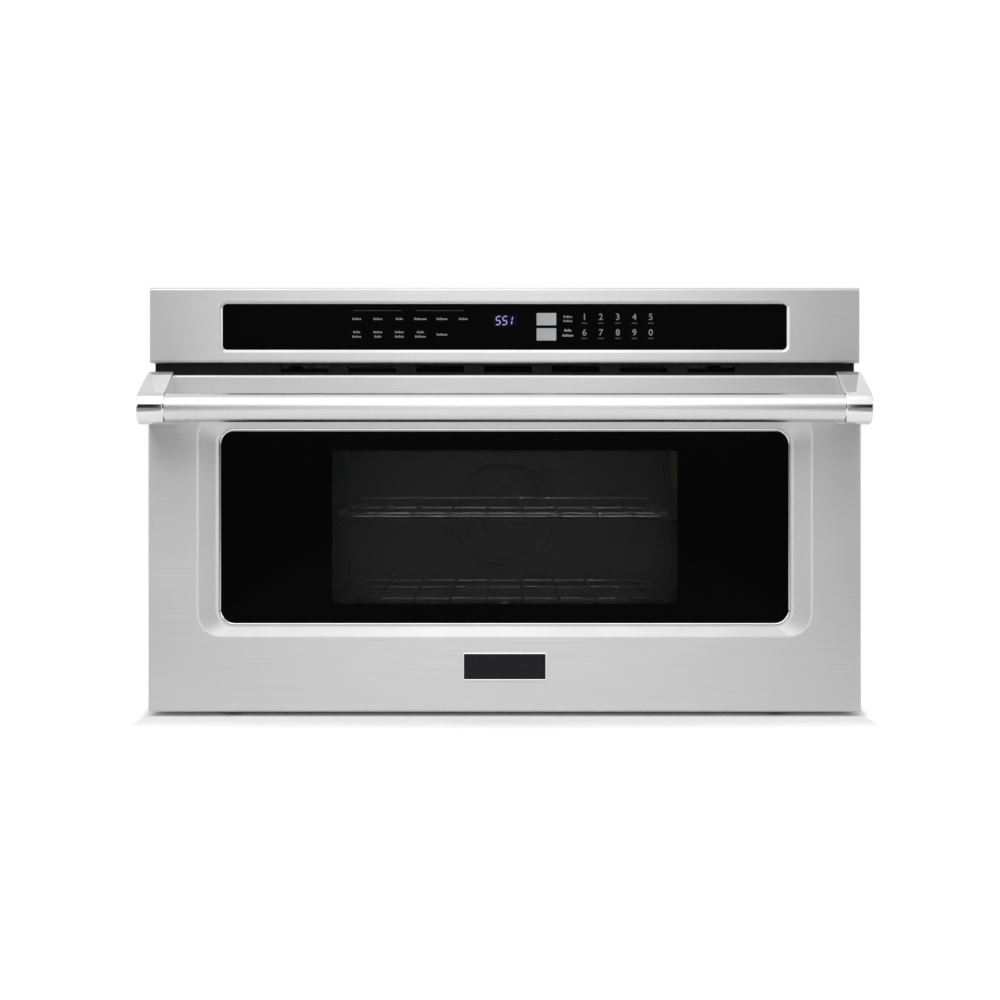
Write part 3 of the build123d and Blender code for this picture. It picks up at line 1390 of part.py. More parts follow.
with BuildPart() as convection_housing:
    with BuildSketch(facing(HOUSING_REAR)):
        with Locations((0, FAN_CENTRE_HEIGHT)):
            housing_outline(HOUSING_HALF)
    extrude(amount=HOUSING_DEPTH)
    with BuildSketch(facing(HOUSING_REAR - LINER_SHEET)):
        with Locations((0, FAN_CENTRE_HEIGHT)):
            housing_outline(HOUSING_HALF - LINER_SHEET)
    extrude(amount=HOUSING_DEPTH, mode=Mode.SUBTRACT)
    with BuildSketch(facing(CAVITY_BACK + 2 * LINER_SHEET)):
        with Locations((0, FAN_CENTRE_HEIGHT)):
            housing_outline(HOUSING_HALF + HOUSING_FLANGE)
            housing_outline(HOUSING_HALF - LINER_SHEET, Mode.SUBTRACT)
    extrude(amount=LINER_SHEET)
    with BuildSketch(facing(HOUSING_REAR)):
        with Locations((0, FAN_CENTRE_HEIGHT)):
            round_hole(MOTOR_PORT_RADIUS, Mode.ADD)
            with Locations((-HEATER_LEG_X, -HEATER_LEG_DROP), (HEATER_LEG_X, -HEATER_LEG_DROP)):
                round_hole(HEATER_PORT_RADIUS, Mode.ADD)
    extrude(amount=LINER_SHEET, mode=Mode.SUBTRACT)

convection_housing.part.label = "convection_housing"
export_step(convection_housing.part, "parts/convection_housing.step")

HEATER_RADIUS = 76.0
HEATER_TUBE = 3.2
HEATER_STEPS = 20
HEATER_GAP = 22.0
HEATER_DEPTH = 20.0
HEATER_LEG = 42.0
HEATER_LEG_END = CAVITY_BACK + 60.0

with BuildPart() as ring_heater:
    heater_y = behind(CAVITY_BACK + HEATER_DEPTH)
    heater_path = []
    for i in range(HEATER_STEPS + 1):
        turn = radians(HEATER_GAP + i * (360 - 2 * HEATER_GAP) / HEATER_STEPS - 90)
        z = FAN_CENTRE_HEIGHT + HEATER_RADIUS * sin(turn)
        heater_path.append((HEATER_RADIUS * cos(turn), heater_y, z))
    with BuildLine() as heater_line:
        Polyline(*heater_path)
    start = Plane(origin=heater_line.line @ 0, x_dir=(0, 1, 0), z_dir=heater_line.line % 0)
    with BuildSketch(start):
        RegularPolygon(HEATER_TUBE, 6)
    sweep(path=heater_line.line, transition=Transition.RIGHT)
    with BuildSketch(facing(HEATER_LEG_END)):
        with Locations((0, FAN_CENTRE_HEIGHT - HEATER_LEG_DROP)):
            with GridLocations(2 * HEATER_LEG_X, 0, 2, 1):
                RegularPolygon(HEATER_TUBE, 6)
    extrude(amount=HEATER_LEG)

ring_heater.part.label = "ring_heater"
export_step(ring_heater.part, "parts/ring_heater.step")

FAN_SPIN_RADIUS = 55.0
BLADES = 10
BLADE_SHEET = 1.2
BLADE_TURN = 25.0
BLADE_ROOT = 22.0
BLADE_TIP = FAN_SPIN_RADIUS - 1.0
FAN_SPIN_SIDES = 20
HUB_RADIUS = 12.0
CONVECTION_SHAFT = 4.0
FAN_REAR = CAVITY_BACK + 30.0
FAN_WIDTH = 22.0
FAN_DISC = 1.0
SHAFT_LENGTH = 41.0

with BuildPart() as convection_fan:
    with BuildSketch(facing(FAN_REAR)):
        with Locations((0, FAN_CENTRE_HEIGHT)):
            RegularPolygon(FAN_SPIN_RADIUS, FAN_SPIN_SIDES)
    extrude(amount=FAN_DISC)
    with BuildSketch(facing(FAN_REAR)):
        with Locations((0, FAN_CENTRE_HEIGHT)):
            round_bar(HUB_RADIUS)
            with PolarLocations((BLADE_ROOT + BLADE_TIP) / 2, BLADES):
                Rectangle(BLADE_TIP - BLADE_ROOT, BLADE_SHEET, rotation=BLADE_TURN)
    extrude(amount=FAN_WIDTH)
    with BuildSketch(facing(FAN_REAR + SHAFT_LENGTH - FAN_DISC)):
        with Locations((0, FAN_CENTRE_HEIGHT)):
            round_bar(CONVECTION_SHAFT)
    extrude(amount=SHAFT_LENGTH)

convection_fan.part.label = "convection_fan"
export_step(convection_fan.part, "parts/convection_fan.step")

STRAP_SHEET = 1.5
STRAP_WIDTH = 16.0
STRAP_LENGTH = 120.0
STRAP_FOOT = 14.0
STRAP_DEPTH = HOUSING_REAR + 11.0
MOTOR_FRONT = HOUSING_REAR + 13.0
MOTOR_REAR = MOTOR_FRONT + 34.0
STACK_WIDTH = 64.0
STACK_HEIGHT = 50.0
STACK_CORNER = 6.0
MOTOR_NOSE_RADIUS = 20.0
MOTOR_NOSE = 6.0

with BuildPart() as convection_motor:
    with BuildSketch(facing(MOTOR_REAR)) as stack:
        with Locations((0, FAN_CENTRE_HEIGHT)):
            Rectangle(STACK_WIDTH, STACK_HEIGHT)
        chamfer(stack.vertices(), STACK_CORNER)
    extrude(amount=MOTOR_REAR - MOTOR_FRONT)
    with BuildSketch(facing(MOTOR_FRONT)):
        with Locations((0, FAN_CENTRE_HEIGHT)):
            round_bar(MOTOR_NOSE_RADIUS)
    extrude(amount=MOTOR_NOSE)
    with BuildSketch(facing(STRAP_DEPTH)):
        with Locations((0, FAN_CENTRE_HEIGHT)):
            Rectangle(STRAP_LENGTH, STRAP_WIDTH)
    extrude(amount=STRAP_SHEET)
    with BuildSketch(facing(STRAP_DEPTH)):
        with Locations((0, FAN_CENTRE_HEIGHT)):
            with GridLocations(STRAP_LENGTH - STRAP_SHEET, 0, 2, 1):
                Rectangle(STRAP_SHEET, STRAP_WIDTH)
    extrude(amount=STRAP_DEPTH - HOUSING_REAR)
    with BuildSketch(facing(HOUSING_REAR + STRAP_SHEET)):
        with Locations((0, FAN_CENTRE_HEIGHT)):
            with GridLocations(STRAP_LENGTH + STRAP_FOOT - 2 * STRAP_SHEET, 0, 2, 1):
                Rectangle(STRAP_FOOT, STRAP_WIDTH)
    extrude(amount=STRAP_SHEET)
    with BuildSketch(facing(MOTOR_REAR)):
        with Locations((0, FAN_CENTRE_HEIGHT)):
            round_hole(CONVECTION_SHAFT + RUNNING_CLEARANCE, Mode.ADD)
    extrude(amount=MOTOR_REAR - HOUSING_REAR, mode=Mode.SUBTRACT)

convection_motor.part.label = "convection_motor"
export_step(convection_motor.part, "parts/convection_motor.step")

# Grill element under the ceiling: one long tube bent back and forth

with BuildPart() as grill_element:
    with BuildLine(level(GRILL_HEIGHT)) as grill_path:
        leg_end = behind(CAVITY_BACK + GRILL_LEG)
        corners = [(-GRILL_LEG_X, leg_end), (-GRILL_LEG_X, behind(GRILL_FRONT))]
        for run in range(1, GRILL_RUNS):
            x = -GRILL_LEG_X + run * GRILL_PITCH
            turn = GRILL_FRONT if run % 2 else GRILL_REAR
            leave = GRILL_REAR if run % 2 else GRILL_FRONT
            corners += [(x, behind(turn)), (x, behind(leave))]
        corners[-1] = (GRILL_LEG_X, leg_end)
        bends = Polyline(*corners)
        chamfer(bends.vertices(), GRILL_BEND)
    with BuildSketch(Plane(origin=grill_path.line @ 0, x_dir=(1, 0, 0), z_dir=grill_path.line % 0)):
        RegularPolygon(GRILL_TUBE, 6)
    sweep(path=grill_path.line, transition=Transition.RIGHT)

grill_element.part.label = "grill_element"
export_step(grill_element.part, "parts/grill_element.step")

# Microwave source on the right of the cavity

MICA_SHEET = 0.8
MICA_HALF_WIDTH = 50.0
MICA_HALF_HEIGHT = 28.0
MICA_CORNER = 5.0

with BuildPart() as waveguide_cover:
    with BuildSketch(across(HALF_CAVITY - MICA_SHEET)) as sheet:
        with Locations((behind(PORT_DEPTH), PORT_HEIGHT)):
            Rectangle(2 * MICA_HALF_WIDTH, 2 * MICA_HALF_HEIGHT)
        chamfer(sheet.vertices(), MICA_CORNER)
    extrude(amount=MICA_SHEET)

waveguide_cover.part.label = "waveguide_cover"
export_step(waveguide_cover.part, "parts/waveguide_cover.step")

GUIDE_OUTER = 236.0
GUIDE_FRONT = PORT_DEPTH - 44.0
GUIDE_REAR = PORT_DEPTH + 130.0
GUIDE_HALF_HEIGHT = 24.0
GUIDE_WALL = HALF_CAVITY + LINER_SHEET
TUBE_DEPTH = PORT_DEPTH + 92.0
ANTENNA_RADIUS = 8.0
ANTENNA_LENGTH = 22.0
ANTENNA_HOLE_RADIUS = 13.0

with BuildPart() as waveguide:
    slab(
        across(GUIDE_WALL),
        behind(GUIDE_FRONT),
        behind(GUIDE_REAR),
        PORT_HEIGHT - GUIDE_HALF_HEIGHT,
        PORT_HEIGHT + GUIDE_HALF_HEIGHT,
        GUIDE_OUTER - GUIDE_WALL,
    )
    slab(
        across(GUIDE_WALL + SHEET),
        behind(GUIDE_FRONT + SHEET),
        behind(GUIDE_REAR - SHEET),
        PORT_HEIGHT - GUIDE_HALF_HEIGHT + SHEET,
        PORT_HEIGHT + GUIDE_HALF_HEIGHT - SHEET,
        GUIDE_OUTER - GUIDE_WALL - 2 * SHEET,
        Mode.SUBTRACT,
    )
    slab(
        across(GUIDE_WALL),
        behind(PORT_DEPTH - PORT_HALF_WIDTH),
        behind(PORT_DEPTH + PORT_HALF_WIDTH),
        PORT_HEIGHT - PORT_HALF_HEIGHT,
        PORT_HEIGHT + PORT_HALF_HEIGHT,
        SHEET,
        Mode.SUBTRACT,
    )
    with BuildSketch(across(GUIDE_OUTER - SHEET)):
        with Locations((behind(TUBE_DEPTH), PORT_HEIGHT)):
            round_hole(ANTENNA_HOLE_RADIUS, Mode.ADD)
    extrude(amount=SHEET, mode=Mode.SUBTRACT)

waveguide.part.label = "waveguide"
export_step(waveguide.part, "parts/waveguide.step")

YOKE_SHEET = 2.0
YOKE_LENGTH = 92.0
YOKE_HEIGHT = 74.0
YOKE_WIDTH = 58.0
ANODE_RADIUS = 18.0
FINS = 6
FIN_SHEET = 0.8
FIN_PITCH = 5.0
FIN_START = GUIDE_OUTER + 18.0
FIN_LENGTH = 74.0
FILTER_LENGTH = 60.0
FILTER_HEIGHT = 50.0
FILTER_WIDTH = 20.0

with BuildPart() as magnetron:
    tube_centre = (behind(TUBE_DEPTH), PORT_HEIGHT)
    with BuildSketch(across(GUIDE_OUTER)):
        with Locations(tube_centre):
            Rectangle(YOKE_LENGTH, YOKE_HEIGHT)
            Rectangle(YOKE_LENGTH, YOKE_HEIGHT - 2 * YOKE_SHEET, mode=Mode.SUBTRACT)
    extrude(amount=YOKE_WIDTH)
    for x in (GUIDE_OUTER, GUIDE_OUTER + YOKE_WIDTH - YOKE_SHEET):
        with BuildSketch(across(x)):
            with Locations(tube_centre):
                Rectangle(YOKE_LENGTH, YOKE_HEIGHT)
        extrude(amount=YOKE_SHEET)
    with BuildSketch(across(GUIDE_OUTER)):
        with Locations(tube_centre):
            RegularPolygon(ANODE_RADIUS, 8)
    extrude(amount=YOKE_WIDTH)
    for fin in range(FINS):
        with BuildSketch(across(FIN_START + fin * FIN_PITCH)):
            with Locations(tube_centre):
                Rectangle(FIN_LENGTH, YOKE_HEIGHT - YOKE_SHEET)
        extrude(amount=FIN_SHEET)
    with BuildSketch(across(GUIDE_OUTER - ANTENNA_LENGTH)):
        with Locations(tube_centre):
            round_bar(ANTENNA_RADIUS)
    extrude(amount=ANTENNA_LENGTH)
    with BuildSketch(across(GUIDE_OUTER + YOKE_WIDTH)):
        with Locations(tube_centre):
            Rectangle(FILTER_LENGTH, FILTER_HEIGHT)
    extrude(amount=FILTER_WIDTH)

magnetron.part.label = "magnetron"
export_step(magnetron.part, "parts/magnetron.step")

SUPPLY_LEFT = 206.0
SUPPLY_RIGHT = 312.0
SUPPLY_FRONT = 300.0
SUPPLY_REAR = 450.0
SUPPLY_TOP = 13.6
SUPPLY_FOOT = 4.0
CORE_SIZE = 50.0
CORE_HEIGHT = 40.0
COIL_LENGTH = 66.0
COIL_WIDTH = 38.0
COIL_LOW = 20.0
COIL_HEIGHT = 26.0
SINK_LEFT = 284.0
SINK_FRONT = 385.0
SINK_REAR = 445.0
SINK_HEIGHT = 34.0
SINK_BASE = 3.0
SINK_FINS = 6
SINK_PITCH = 4.8
CAPACITOR_RADIUS = 9.0
CAPACITOR_HEIGHT = 30.0

with BuildPart() as inverter:
    slab(
        level(SUPPLY_TOP - BOARD_SHEET),
        SUPPLY_LEFT,
        SUPPLY_RIGHT,
        behind(SUPPLY_FRONT),
        behind(SUPPLY_REAR),
        BOARD_SHEET,
    )
    with BuildSketch(level(PAN_SHEET)):
        middle_x = (SUPPLY_LEFT + SUPPLY_RIGHT) / 2
        with Locations((middle_x, behind((SUPPLY_FRONT + SUPPLY_REAR) / 2))):
            with GridLocations(SUPPLY_RIGHT - SUPPLY_LEFT - 12, SUPPLY_REAR - SUPPLY_FRONT - 12, 2, 2):
                RegularPolygon(SUPPLY_FOOT, 6)
    extrude(amount=SUPPLY_TOP - BOARD_SHEET - PAN_SHEET)
    core_centre = (SUPPLY_LEFT + 41, behind(SUPPLY_FRONT + 45))
    with BuildSketch(level(SUPPLY_TOP)):
        with Locations(core_centre):
            Rectangle(CORE_SIZE, CORE_SIZE)
    extrude(amount=CORE_HEIGHT)
    with BuildSketch(level(COIL_LOW)):
        with Locations(core_centre):
            Rectangle(COIL_LENGTH, COIL_WIDTH)
    extrude(amount=COIL_HEIGHT)
    sink_right = SINK_LEFT + (SINK_FINS - 1) * SINK_PITCH + BLADE_SHEET
    slab(level(SUPPLY_TOP), SINK_LEFT, sink_right, behind(SINK_FRONT), behind(SINK_REAR), SINK_BASE)
    for fin in range(SINK_FINS):
        left = SINK_LEFT + fin * SINK_PITCH
        slab(
            level(SUPPLY_TOP),
            left,
            left + BLADE_SHEET,
            behind(SINK_FRONT),
            behind(SINK_REAR),
            SINK_HEIGHT,
        )
    with BuildSketch(level(SUPPLY_TOP)):
        with Locations((SUPPLY_LEFT + 19, behind(SUPPLY_FRONT + 112))):
            with GridLocations(0, 25, 1, 2):
                RegularPolygon(CAPACITOR_RADIUS, 8)
    extrude(amount=CAPACITOR_HEIGHT)

inverter.part.label = "inverter"
export_step(inverter.part, "parts/inverter.step")

# Cooling fan behind the magnetron

SHROUD_HALF = 60.0
DUCT_RADIUS = 56.0
COOLING_BLADES = 7
COOLING_HUB = 20.0
HUB_WIDTH = 22.0
COOLING_TIP = 52.0
BLADE_ANGLE = 55.0
BLADE_WIDTH = 24.0
BLADE_THICKNESS = 1.4
SHROUD_DEPTH = 38.0
SHROUD_REAR = REAR_FACE - SHEET
SPOKE_WIDTH = 6.0
SPOKE_DEPTH = 12.0
COOLING_SHAFT = 2.5
SHAFT_END = 14.0

with BuildPart() as fan_housing:
    fan_centre = (FAN_X, FAN_HEIGHT)
    with BuildSketch(facing(SHROUD_REAR)):
        with Locations(fan_centre):
            Rectangle(2 * SHROUD_HALF, 2 * SHROUD_HALF)
            Circle(DUCT_RADIUS, mode=Mode.SUBTRACT)
    extrude(amount=SHROUD_DEPTH)
    with BuildSketch(facing(SHROUD_REAR)):
        with Locations(fan_centre):
            round_bar(COOLING_HUB)
            with PolarLocations(DUCT_RADIUS / 2 + 4, 4, start_angle=45):
                Rectangle(DUCT_RADIUS + 6, SPOKE_WIDTH)
    extrude(amount=SPOKE_DEPTH)
    with BuildSketch(facing(SHROUD_REAR)):
        with Locations(fan_centre):
            round_hole(COOLING_SHAFT + RUNNING_CLEARANCE, Mode.ADD)
    extrude(amount=SHROUD_DEPTH, mode=Mode.SUBTRACT)

fan_housing.part.label = "fan_housing"
export_step(fan_housing.part, "parts/fan_housing.step")

with BuildPart() as cooling_fan:
    hub_rear = SHROUD_REAR - SPOKE_DEPTH - 1
    with BuildSketch(facing(hub_rear)):
        with Locations(fan_centre):
            round_bar(COOLING_HUB)
    extrude(amount=HUB_WIDTH)
    for i in range(COOLING_BLADES):
        turn = radians(i * 360 / COOLING_BLADES)
        stem = Plane(
            origin=(FAN_X, behind(hub_rear - HUB_WIDTH / 2), FAN_HEIGHT),
            x_dir=(0, 1, 0),
            z_dir=(cos(turn), 0, sin(turn)),
        )
        with BuildSketch(stem.offset(COOLING_HUB - 3)):
            Rectangle(BLADE_WIDTH, BLADE_THICKNESS, rotation=BLADE_ANGLE)
        extrude(amount=COOLING_TIP - COOLING_HUB + 3)
    with BuildSketch(facing(hub_rear + SPOKE_DEPTH)):
        with Locations(fan_centre):
            round_bar(COOLING_SHAFT)
    extrude(amount=SHAFT_END)

cooling_fan.part.label = "cooling_fan"
export_step(cooling_fan.part, "parts/cooling_fan.step")

# Lamp on the left wall, interlock switches, outlet duct and cable gland

LAMP_PLATE = 60.0
LAMP_PLATE_SHEET = 1.5
LAMP_RADIUS = 18.0
LAMP_LENGTH = 50.0

with BuildPart() as oven_lamp:
    plate_x = -HALF_CAVITY - LINER_SHEET - LAMP_PLATE_SHEET
    with BuildSketch(across(plate_x)):
        with Locations((behind(LAMP_DEPTH), LAMP_HEIGHT)):
            Rectangle(LAMP_PLATE, LAMP_PLATE)
    extrude(amount=LAMP_PLATE_SHEET)
    with BuildSketch(across(plate_x - LAMP_LENGTH)):
        with Locations((behind(LAMP_DEPTH), LAMP_HEIGHT)):
            round_bar(LAMP_RADIUS)
    extrude(amount=LAMP_LENGTH)

oven_lamp.part.label = "oven_lamp"
export_step(oven_lamp.part, "parts/oven_lamp.step")

SWITCH_HALF = 14.0
SWITCH_DEPTH = 44.0
SWITCH_MOUTH = 26.0
SWITCH_FLOOR = 26.0
SWITCH_ROOF = 8.0
SWITCH_PLAY = 4.0
LEVER_HALF = 7.0
LEVER_DROP = 14.0
LEVER_FRONT = FRAME_REAR + 10.0
LEVER_REAR = FRAME_REAR + 40.0

with BuildPart() as interlock_switches:
    for x in (-LATCH_X, LATCH_X):
        with BuildSketch(across(x - SWITCH_HALF)):
            low = LATCH_WINDOW_LOW - SWITCH_FLOOR
            high = LATCH_WINDOW_HIGH + SWITCH_ROOF
            span(behind(FRAME_REAR), behind(FRAME_REAR + SWITCH_DEPTH), low, high)
            cut_span(
                behind(FRAME_REAR),
                behind(FRAME_REAR + SWITCH_MOUTH),
                LATCH_WINDOW_LOW - SWITCH_PLAY,
                LATCH_WINDOW_HIGH + SWITCH_PLAY,
            )
        extrude(amount=2 * SWITCH_HALF)
        slab(
            facing(LEVER_REAR),
            x - LEVER_HALF,
            x + LEVER_HALF,
            low - LEVER_DROP,
            low,
            LEVER_REAR - LEVER_FRONT,
        )

interlock_switches.part.label = "interlock_switches"
export_step(interlock_switches.part, "parts/interlock_switches.step")

DUCT_HALF = 235.0
DUCT_LOW = 364.0
DUCT_HIGH = 400.0
DUCT_REAR = 210.0
DUCT_SLOPE = 30.0

with BuildPart() as exhaust_duct:
    with BuildSketch(across(-DUCT_HALF)):
        with BuildLine():
            Polyline(
                (behind(FRAME_REAR), DUCT_LOW),
                (behind(FRAME_REAR), DUCT_HIGH),
                (behind(DUCT_REAR), DUCT_HIGH + DUCT_SLOPE),
                (behind(DUCT_REAR), DUCT_LOW),
                close=True,
            )
        make_face()
    extrude(amount=2 * DUCT_HALF)
    offset(amount=-SHEET, openings=exhaust_duct.faces().filter_by(Axis.Y))

exhaust_duct.part.label = "exhaust_duct"
export_step(exhaust_duct.part, "parts/exhaust_duct.step")

GLAND_BORE = 5.5
GLAND_LENGTH = 20.0
GLAND_NUT_RADIUS = 13.0

with BuildPart() as cable_gland:
    gland_centre = (GLAND_X, GLAND_HEIGHT)
    with BuildSketch(facing(BODY_DEPTH)):
        with Locations(gland_centre):
            RegularPolygon(GLAND_NUT_RADIUS, 6)
    extrude(amount=GLAND_FLANGE)
    with BuildSketch(facing(REAR_FACE)):
        with Locations(gland_centre):
            round_bar(GLAND_RADIUS)
    extrude(amount=GLAND_LENGTH - GLAND_FLANGE)
    with BuildSketch(facing(BODY_DEPTH)):
        with Locations(gland_centre):
            Circle(GLAND_BORE)
    extrude(amount=GLAND_LENGTH, mode=Mode.SUBTRACT)

cable_gland.part.label = "cable_gland"
export_step(cable_gland.part, "parts/cable_gland.step")

SCREW_HEAD_RADIUS = 4.0
SCREW_HEAD = 2.2
SCREW_SPREAD = 600.0
SCREW_RISE = 400.0
SCREW_MIDDLE = 224.0

with BuildPart() as panel_screws:
    with BuildSketch(facing(REAR_FACE + SCREW_HEAD)):
        with Locations((0, SCREW_MIDDLE)):
            with GridLocations(SCREW_SPREAD / 3, SCREW_RISE, 4, 2):
                RegularPolygon(SCREW_HEAD_RADIUS, 6)
    extrude(amount=SCREW_HEAD)

panel_screws.part.label = "panel_screws"
export_step(panel_screws.part, "parts/panel_screws.step")
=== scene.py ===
import json
import logging
import math
from dataclasses import astuple, dataclass
from enum import Enum
from typing import Callable, Sequence

import bmesh
import bpy
from bpy.types import Material, NodeOutputs, NodeSocket, NodeTree, Object
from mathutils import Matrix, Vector


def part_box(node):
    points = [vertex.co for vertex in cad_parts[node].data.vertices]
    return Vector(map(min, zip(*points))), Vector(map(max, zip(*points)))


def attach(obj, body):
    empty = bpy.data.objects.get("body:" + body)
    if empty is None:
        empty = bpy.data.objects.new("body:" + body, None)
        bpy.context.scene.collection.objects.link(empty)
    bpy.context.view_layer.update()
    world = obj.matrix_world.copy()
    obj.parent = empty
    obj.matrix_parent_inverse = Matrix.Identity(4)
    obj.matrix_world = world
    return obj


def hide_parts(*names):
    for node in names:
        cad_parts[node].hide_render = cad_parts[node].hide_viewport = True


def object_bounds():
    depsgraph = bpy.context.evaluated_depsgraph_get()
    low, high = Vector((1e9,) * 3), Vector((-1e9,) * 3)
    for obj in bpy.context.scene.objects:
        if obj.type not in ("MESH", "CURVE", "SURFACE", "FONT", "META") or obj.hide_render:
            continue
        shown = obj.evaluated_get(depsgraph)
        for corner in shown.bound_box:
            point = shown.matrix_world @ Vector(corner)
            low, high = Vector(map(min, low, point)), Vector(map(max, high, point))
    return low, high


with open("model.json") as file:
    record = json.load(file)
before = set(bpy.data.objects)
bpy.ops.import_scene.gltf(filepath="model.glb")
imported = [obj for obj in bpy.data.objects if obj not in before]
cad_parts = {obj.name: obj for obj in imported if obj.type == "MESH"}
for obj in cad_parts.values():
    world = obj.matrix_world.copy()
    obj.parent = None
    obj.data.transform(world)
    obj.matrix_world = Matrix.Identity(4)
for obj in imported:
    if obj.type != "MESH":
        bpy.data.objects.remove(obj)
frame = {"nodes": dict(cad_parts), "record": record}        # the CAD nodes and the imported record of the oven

log = logging.getLogger("oven")

CAD_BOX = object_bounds()
DOOR_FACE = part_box("door_skin")[0].y
MM = 0.001
OVEN = "oven"
DOOR = "door"
WHITE = (1.0, 1.0, 1.0, 1.0)
UPRIGHT = (math.pi / 2, 0.0, 0.0)

Colour = tuple[float, float, float]
Place = tuple[float, float, float]
Span = tuple[float, float]
Part = bmesh.types.BMEdge | bmesh.types.BMFace
Values = dict[str | int, object]


def mm(value: float) -> float:
    """Millimetres as the scene's metres."""
    return value * MM


def behind(depth: float) -> float:
    """Y of a place that lies depth millimetres behind the door's face."""
    return DOOR_FACE + mm(depth)


# Node trees, and the effects that several finishes share


class Wiring:
    """The nodes of one node tree and the links between them."""

    def __init__(self, tree: NodeTree) -> None:
        """Take hold of the tree's nodes and links."""
        self.nodes = tree.nodes
        self.links = tree.links

    def feed(self, value: object, socket: NodeSocket) -> None:
        """Link a socket to another one, or give it a plain value.

        Args:
            value: What it gets, a socket or a value.
            socket: The socket that gets it.
        """
        if isinstance(value, NodeSocket):
            self.links.new(value, socket)
        else:
            socket.default_value = value

    def node(self, kind: str, inputs: Values | None = None, **settings: object) -> NodeOutputs:
        """Add a node.

        Args:
            kind: Its type, without Blender's ShaderNode before it.
            inputs: What its sockets get, each a socket or a value.
            **settings: Its own settings.

        Returns:
            Its outputs.
        """
        node = self.nodes.new(f"ShaderNode{kind}")
        for name, value in settings.items():
            setattr(node, name, value)
        for name, value in (inputs or {}).items():
            self.feed(value, node.inputs[name])
        return node.outputs

    def maths(self, operation: str, *terms: object) -> NodeSocket:
        """The result of one sum, such as MULTIPLY, of terms that are sockets or numbers."""
        return self.node("Math", dict(enumerate(terms)), operation=operation)[0]

    def product(self, first: NodeSocket, *others: NodeSocket) -> NodeSocket:
        """The product of several sockets."""
        return self.product(self.maths("MULTIPLY", first, others[0]), *others[1:]) if others else first

    def ramp(
        self, source: NodeSocket, edges: Span, low: float = 0.0, high: float = 1.0, shape: str = "SMOOTHSTEP"
    ) -> NodeSocket:
        """A step from low to high between two values of a source.

        Args:
            source: The socket that the step follows.
            edges: The source's values where it starts and ends.
            low: The result up to the start.
            high: The result from the end on.
            shape: Blender's name of how it climbs.

        Returns:
            The step's socket.
        """
        values = {"Value": source, "From Min": edges[0], "From Max": edges[1], "To Min": low, "To Max": high}
        return self.node("MapRange", values, interpolation_type=shape)[0]

    def span(self, mask: NodeSocket, low: float, high: float) -> NodeSocket:
        """A value that runs from low to high as a mask goes from 0 to 1."""
        return self.ramp(mask, (0.0, 1.0), low, high, "LINEAR")

    def noise(self, vector: NodeSocket, scale: NodeSocket, detail: float, rough: float = 0.5) -> NodeSocket:
        """Noise of a scale, with finer noise in it."""
        values = {"Vector": vector, "Scale": scale, "Detail": detail, "Roughness": rough}
        return self.node("TexNoise", values)["Fac"]

    def axes(self, vector: NodeSocket) -> NodeOutputs:
        """The X, Y and Z of a vector."""
        return self.node("SeparateXYZ", {0: vector})

    def away(self, value: NodeSocket, middle: float = 0.0) -> NodeSocket:
        """How far a coordinate is from a middle."""
        return self.maths("ABSOLUTE", self.maths("SUBTRACT", value, middle))


class Effect:
    """A node group with named inputs and outputs, built once and placed in any finish."""

    name: str = "effect"
    inputs: tuple[tuple[str, float], ...] = ()
    outputs: tuple[str, ...] = ()

    @classmethod
    def group(cls) -> NodeTree:
        """The group, built the first time that it is asked for."""
        tree = bpy.data.node_groups.get(cls.name)
        if tree:
            return tree
        tree = bpy.data.node_groups.new(cls.name, "ShaderNodeTree")
        tree.interface.new_socket("Vector", in_out="INPUT", socket_type="NodeSocketVector")
        for name, value in cls.inputs:
            socket = tree.interface.new_socket(name, in_out="INPUT", socket_type="NodeSocketFloat")
            socket.default_value = value
        for name in cls.outputs:
            tree.interface.new_socket(name, in_out="OUTPUT", socket_type="NodeSocketFloat")
        given = tree.nodes.new("NodeGroupInput").outputs
        out = tree.nodes.new("NodeGroupOutput").inputs
        for result, socket in zip(cls.wire(Wiring(tree), given), out):
            tree.links.new(result, socket)
        return tree

    @classmethod
    def wire(cls, wiring: Wiring, given: NodeOutputs) -> Sequence[NodeSocket]:
        """Fill the group with its nodes.

        Args:
            wiring: The group's own nodes.
            given: What comes in.

        Returns:
            What goes out, in the order of the outputs.
        """
        raise NotImplementedError


class Grain(Effect):
    """Long fine scratches along X, as on brushed sheet."""

    name = "brushed_grain"
    inputs = (("Fineness", 600.0), ("Stretch", 0.02))
    outputs = ("Height", "Tone")

    @classmethod
    def wire(cls, wiring: Wiring, given: NodeOutputs) -> Sequence[NodeSocket]:
        """Noise that is drawn out along X, as it is and with more contrast."""
        place = wiring.axes(given["Vector"])
        along = wiring.maths("MULTIPLY", place["X"], given["Stretch"])
        drawn = wiring.node("CombineXYZ", {"X": along, "Y": place["Y"], "Z": place["Z"]})[0]
        noise = wiring.noise(drawn, given["Fineness"], 3.0, 0.6)
        return noise, wiring.ramp(noise, (0.3, 0.7), shape="LINEAR")


class Mottle(Effect):
    """Soft uneven patches, for handling marks and for casting or enamel that isn't quite even."""

    name = "soft_mottle"
    inputs = (("Scale", 12.0),)
    outputs = ("Mask",)

    @classmethod
    def wire(cls, wiring: Wiring, given: NodeOutputs) -> Sequence[NodeSocket]:
        """Noise with more contrast."""
        noise = wiring.noise(given["Vector"], given["Scale"], 4.0)
        return (wiring.ramp(noise, (0.35, 0.65), shape="LINEAR"),)


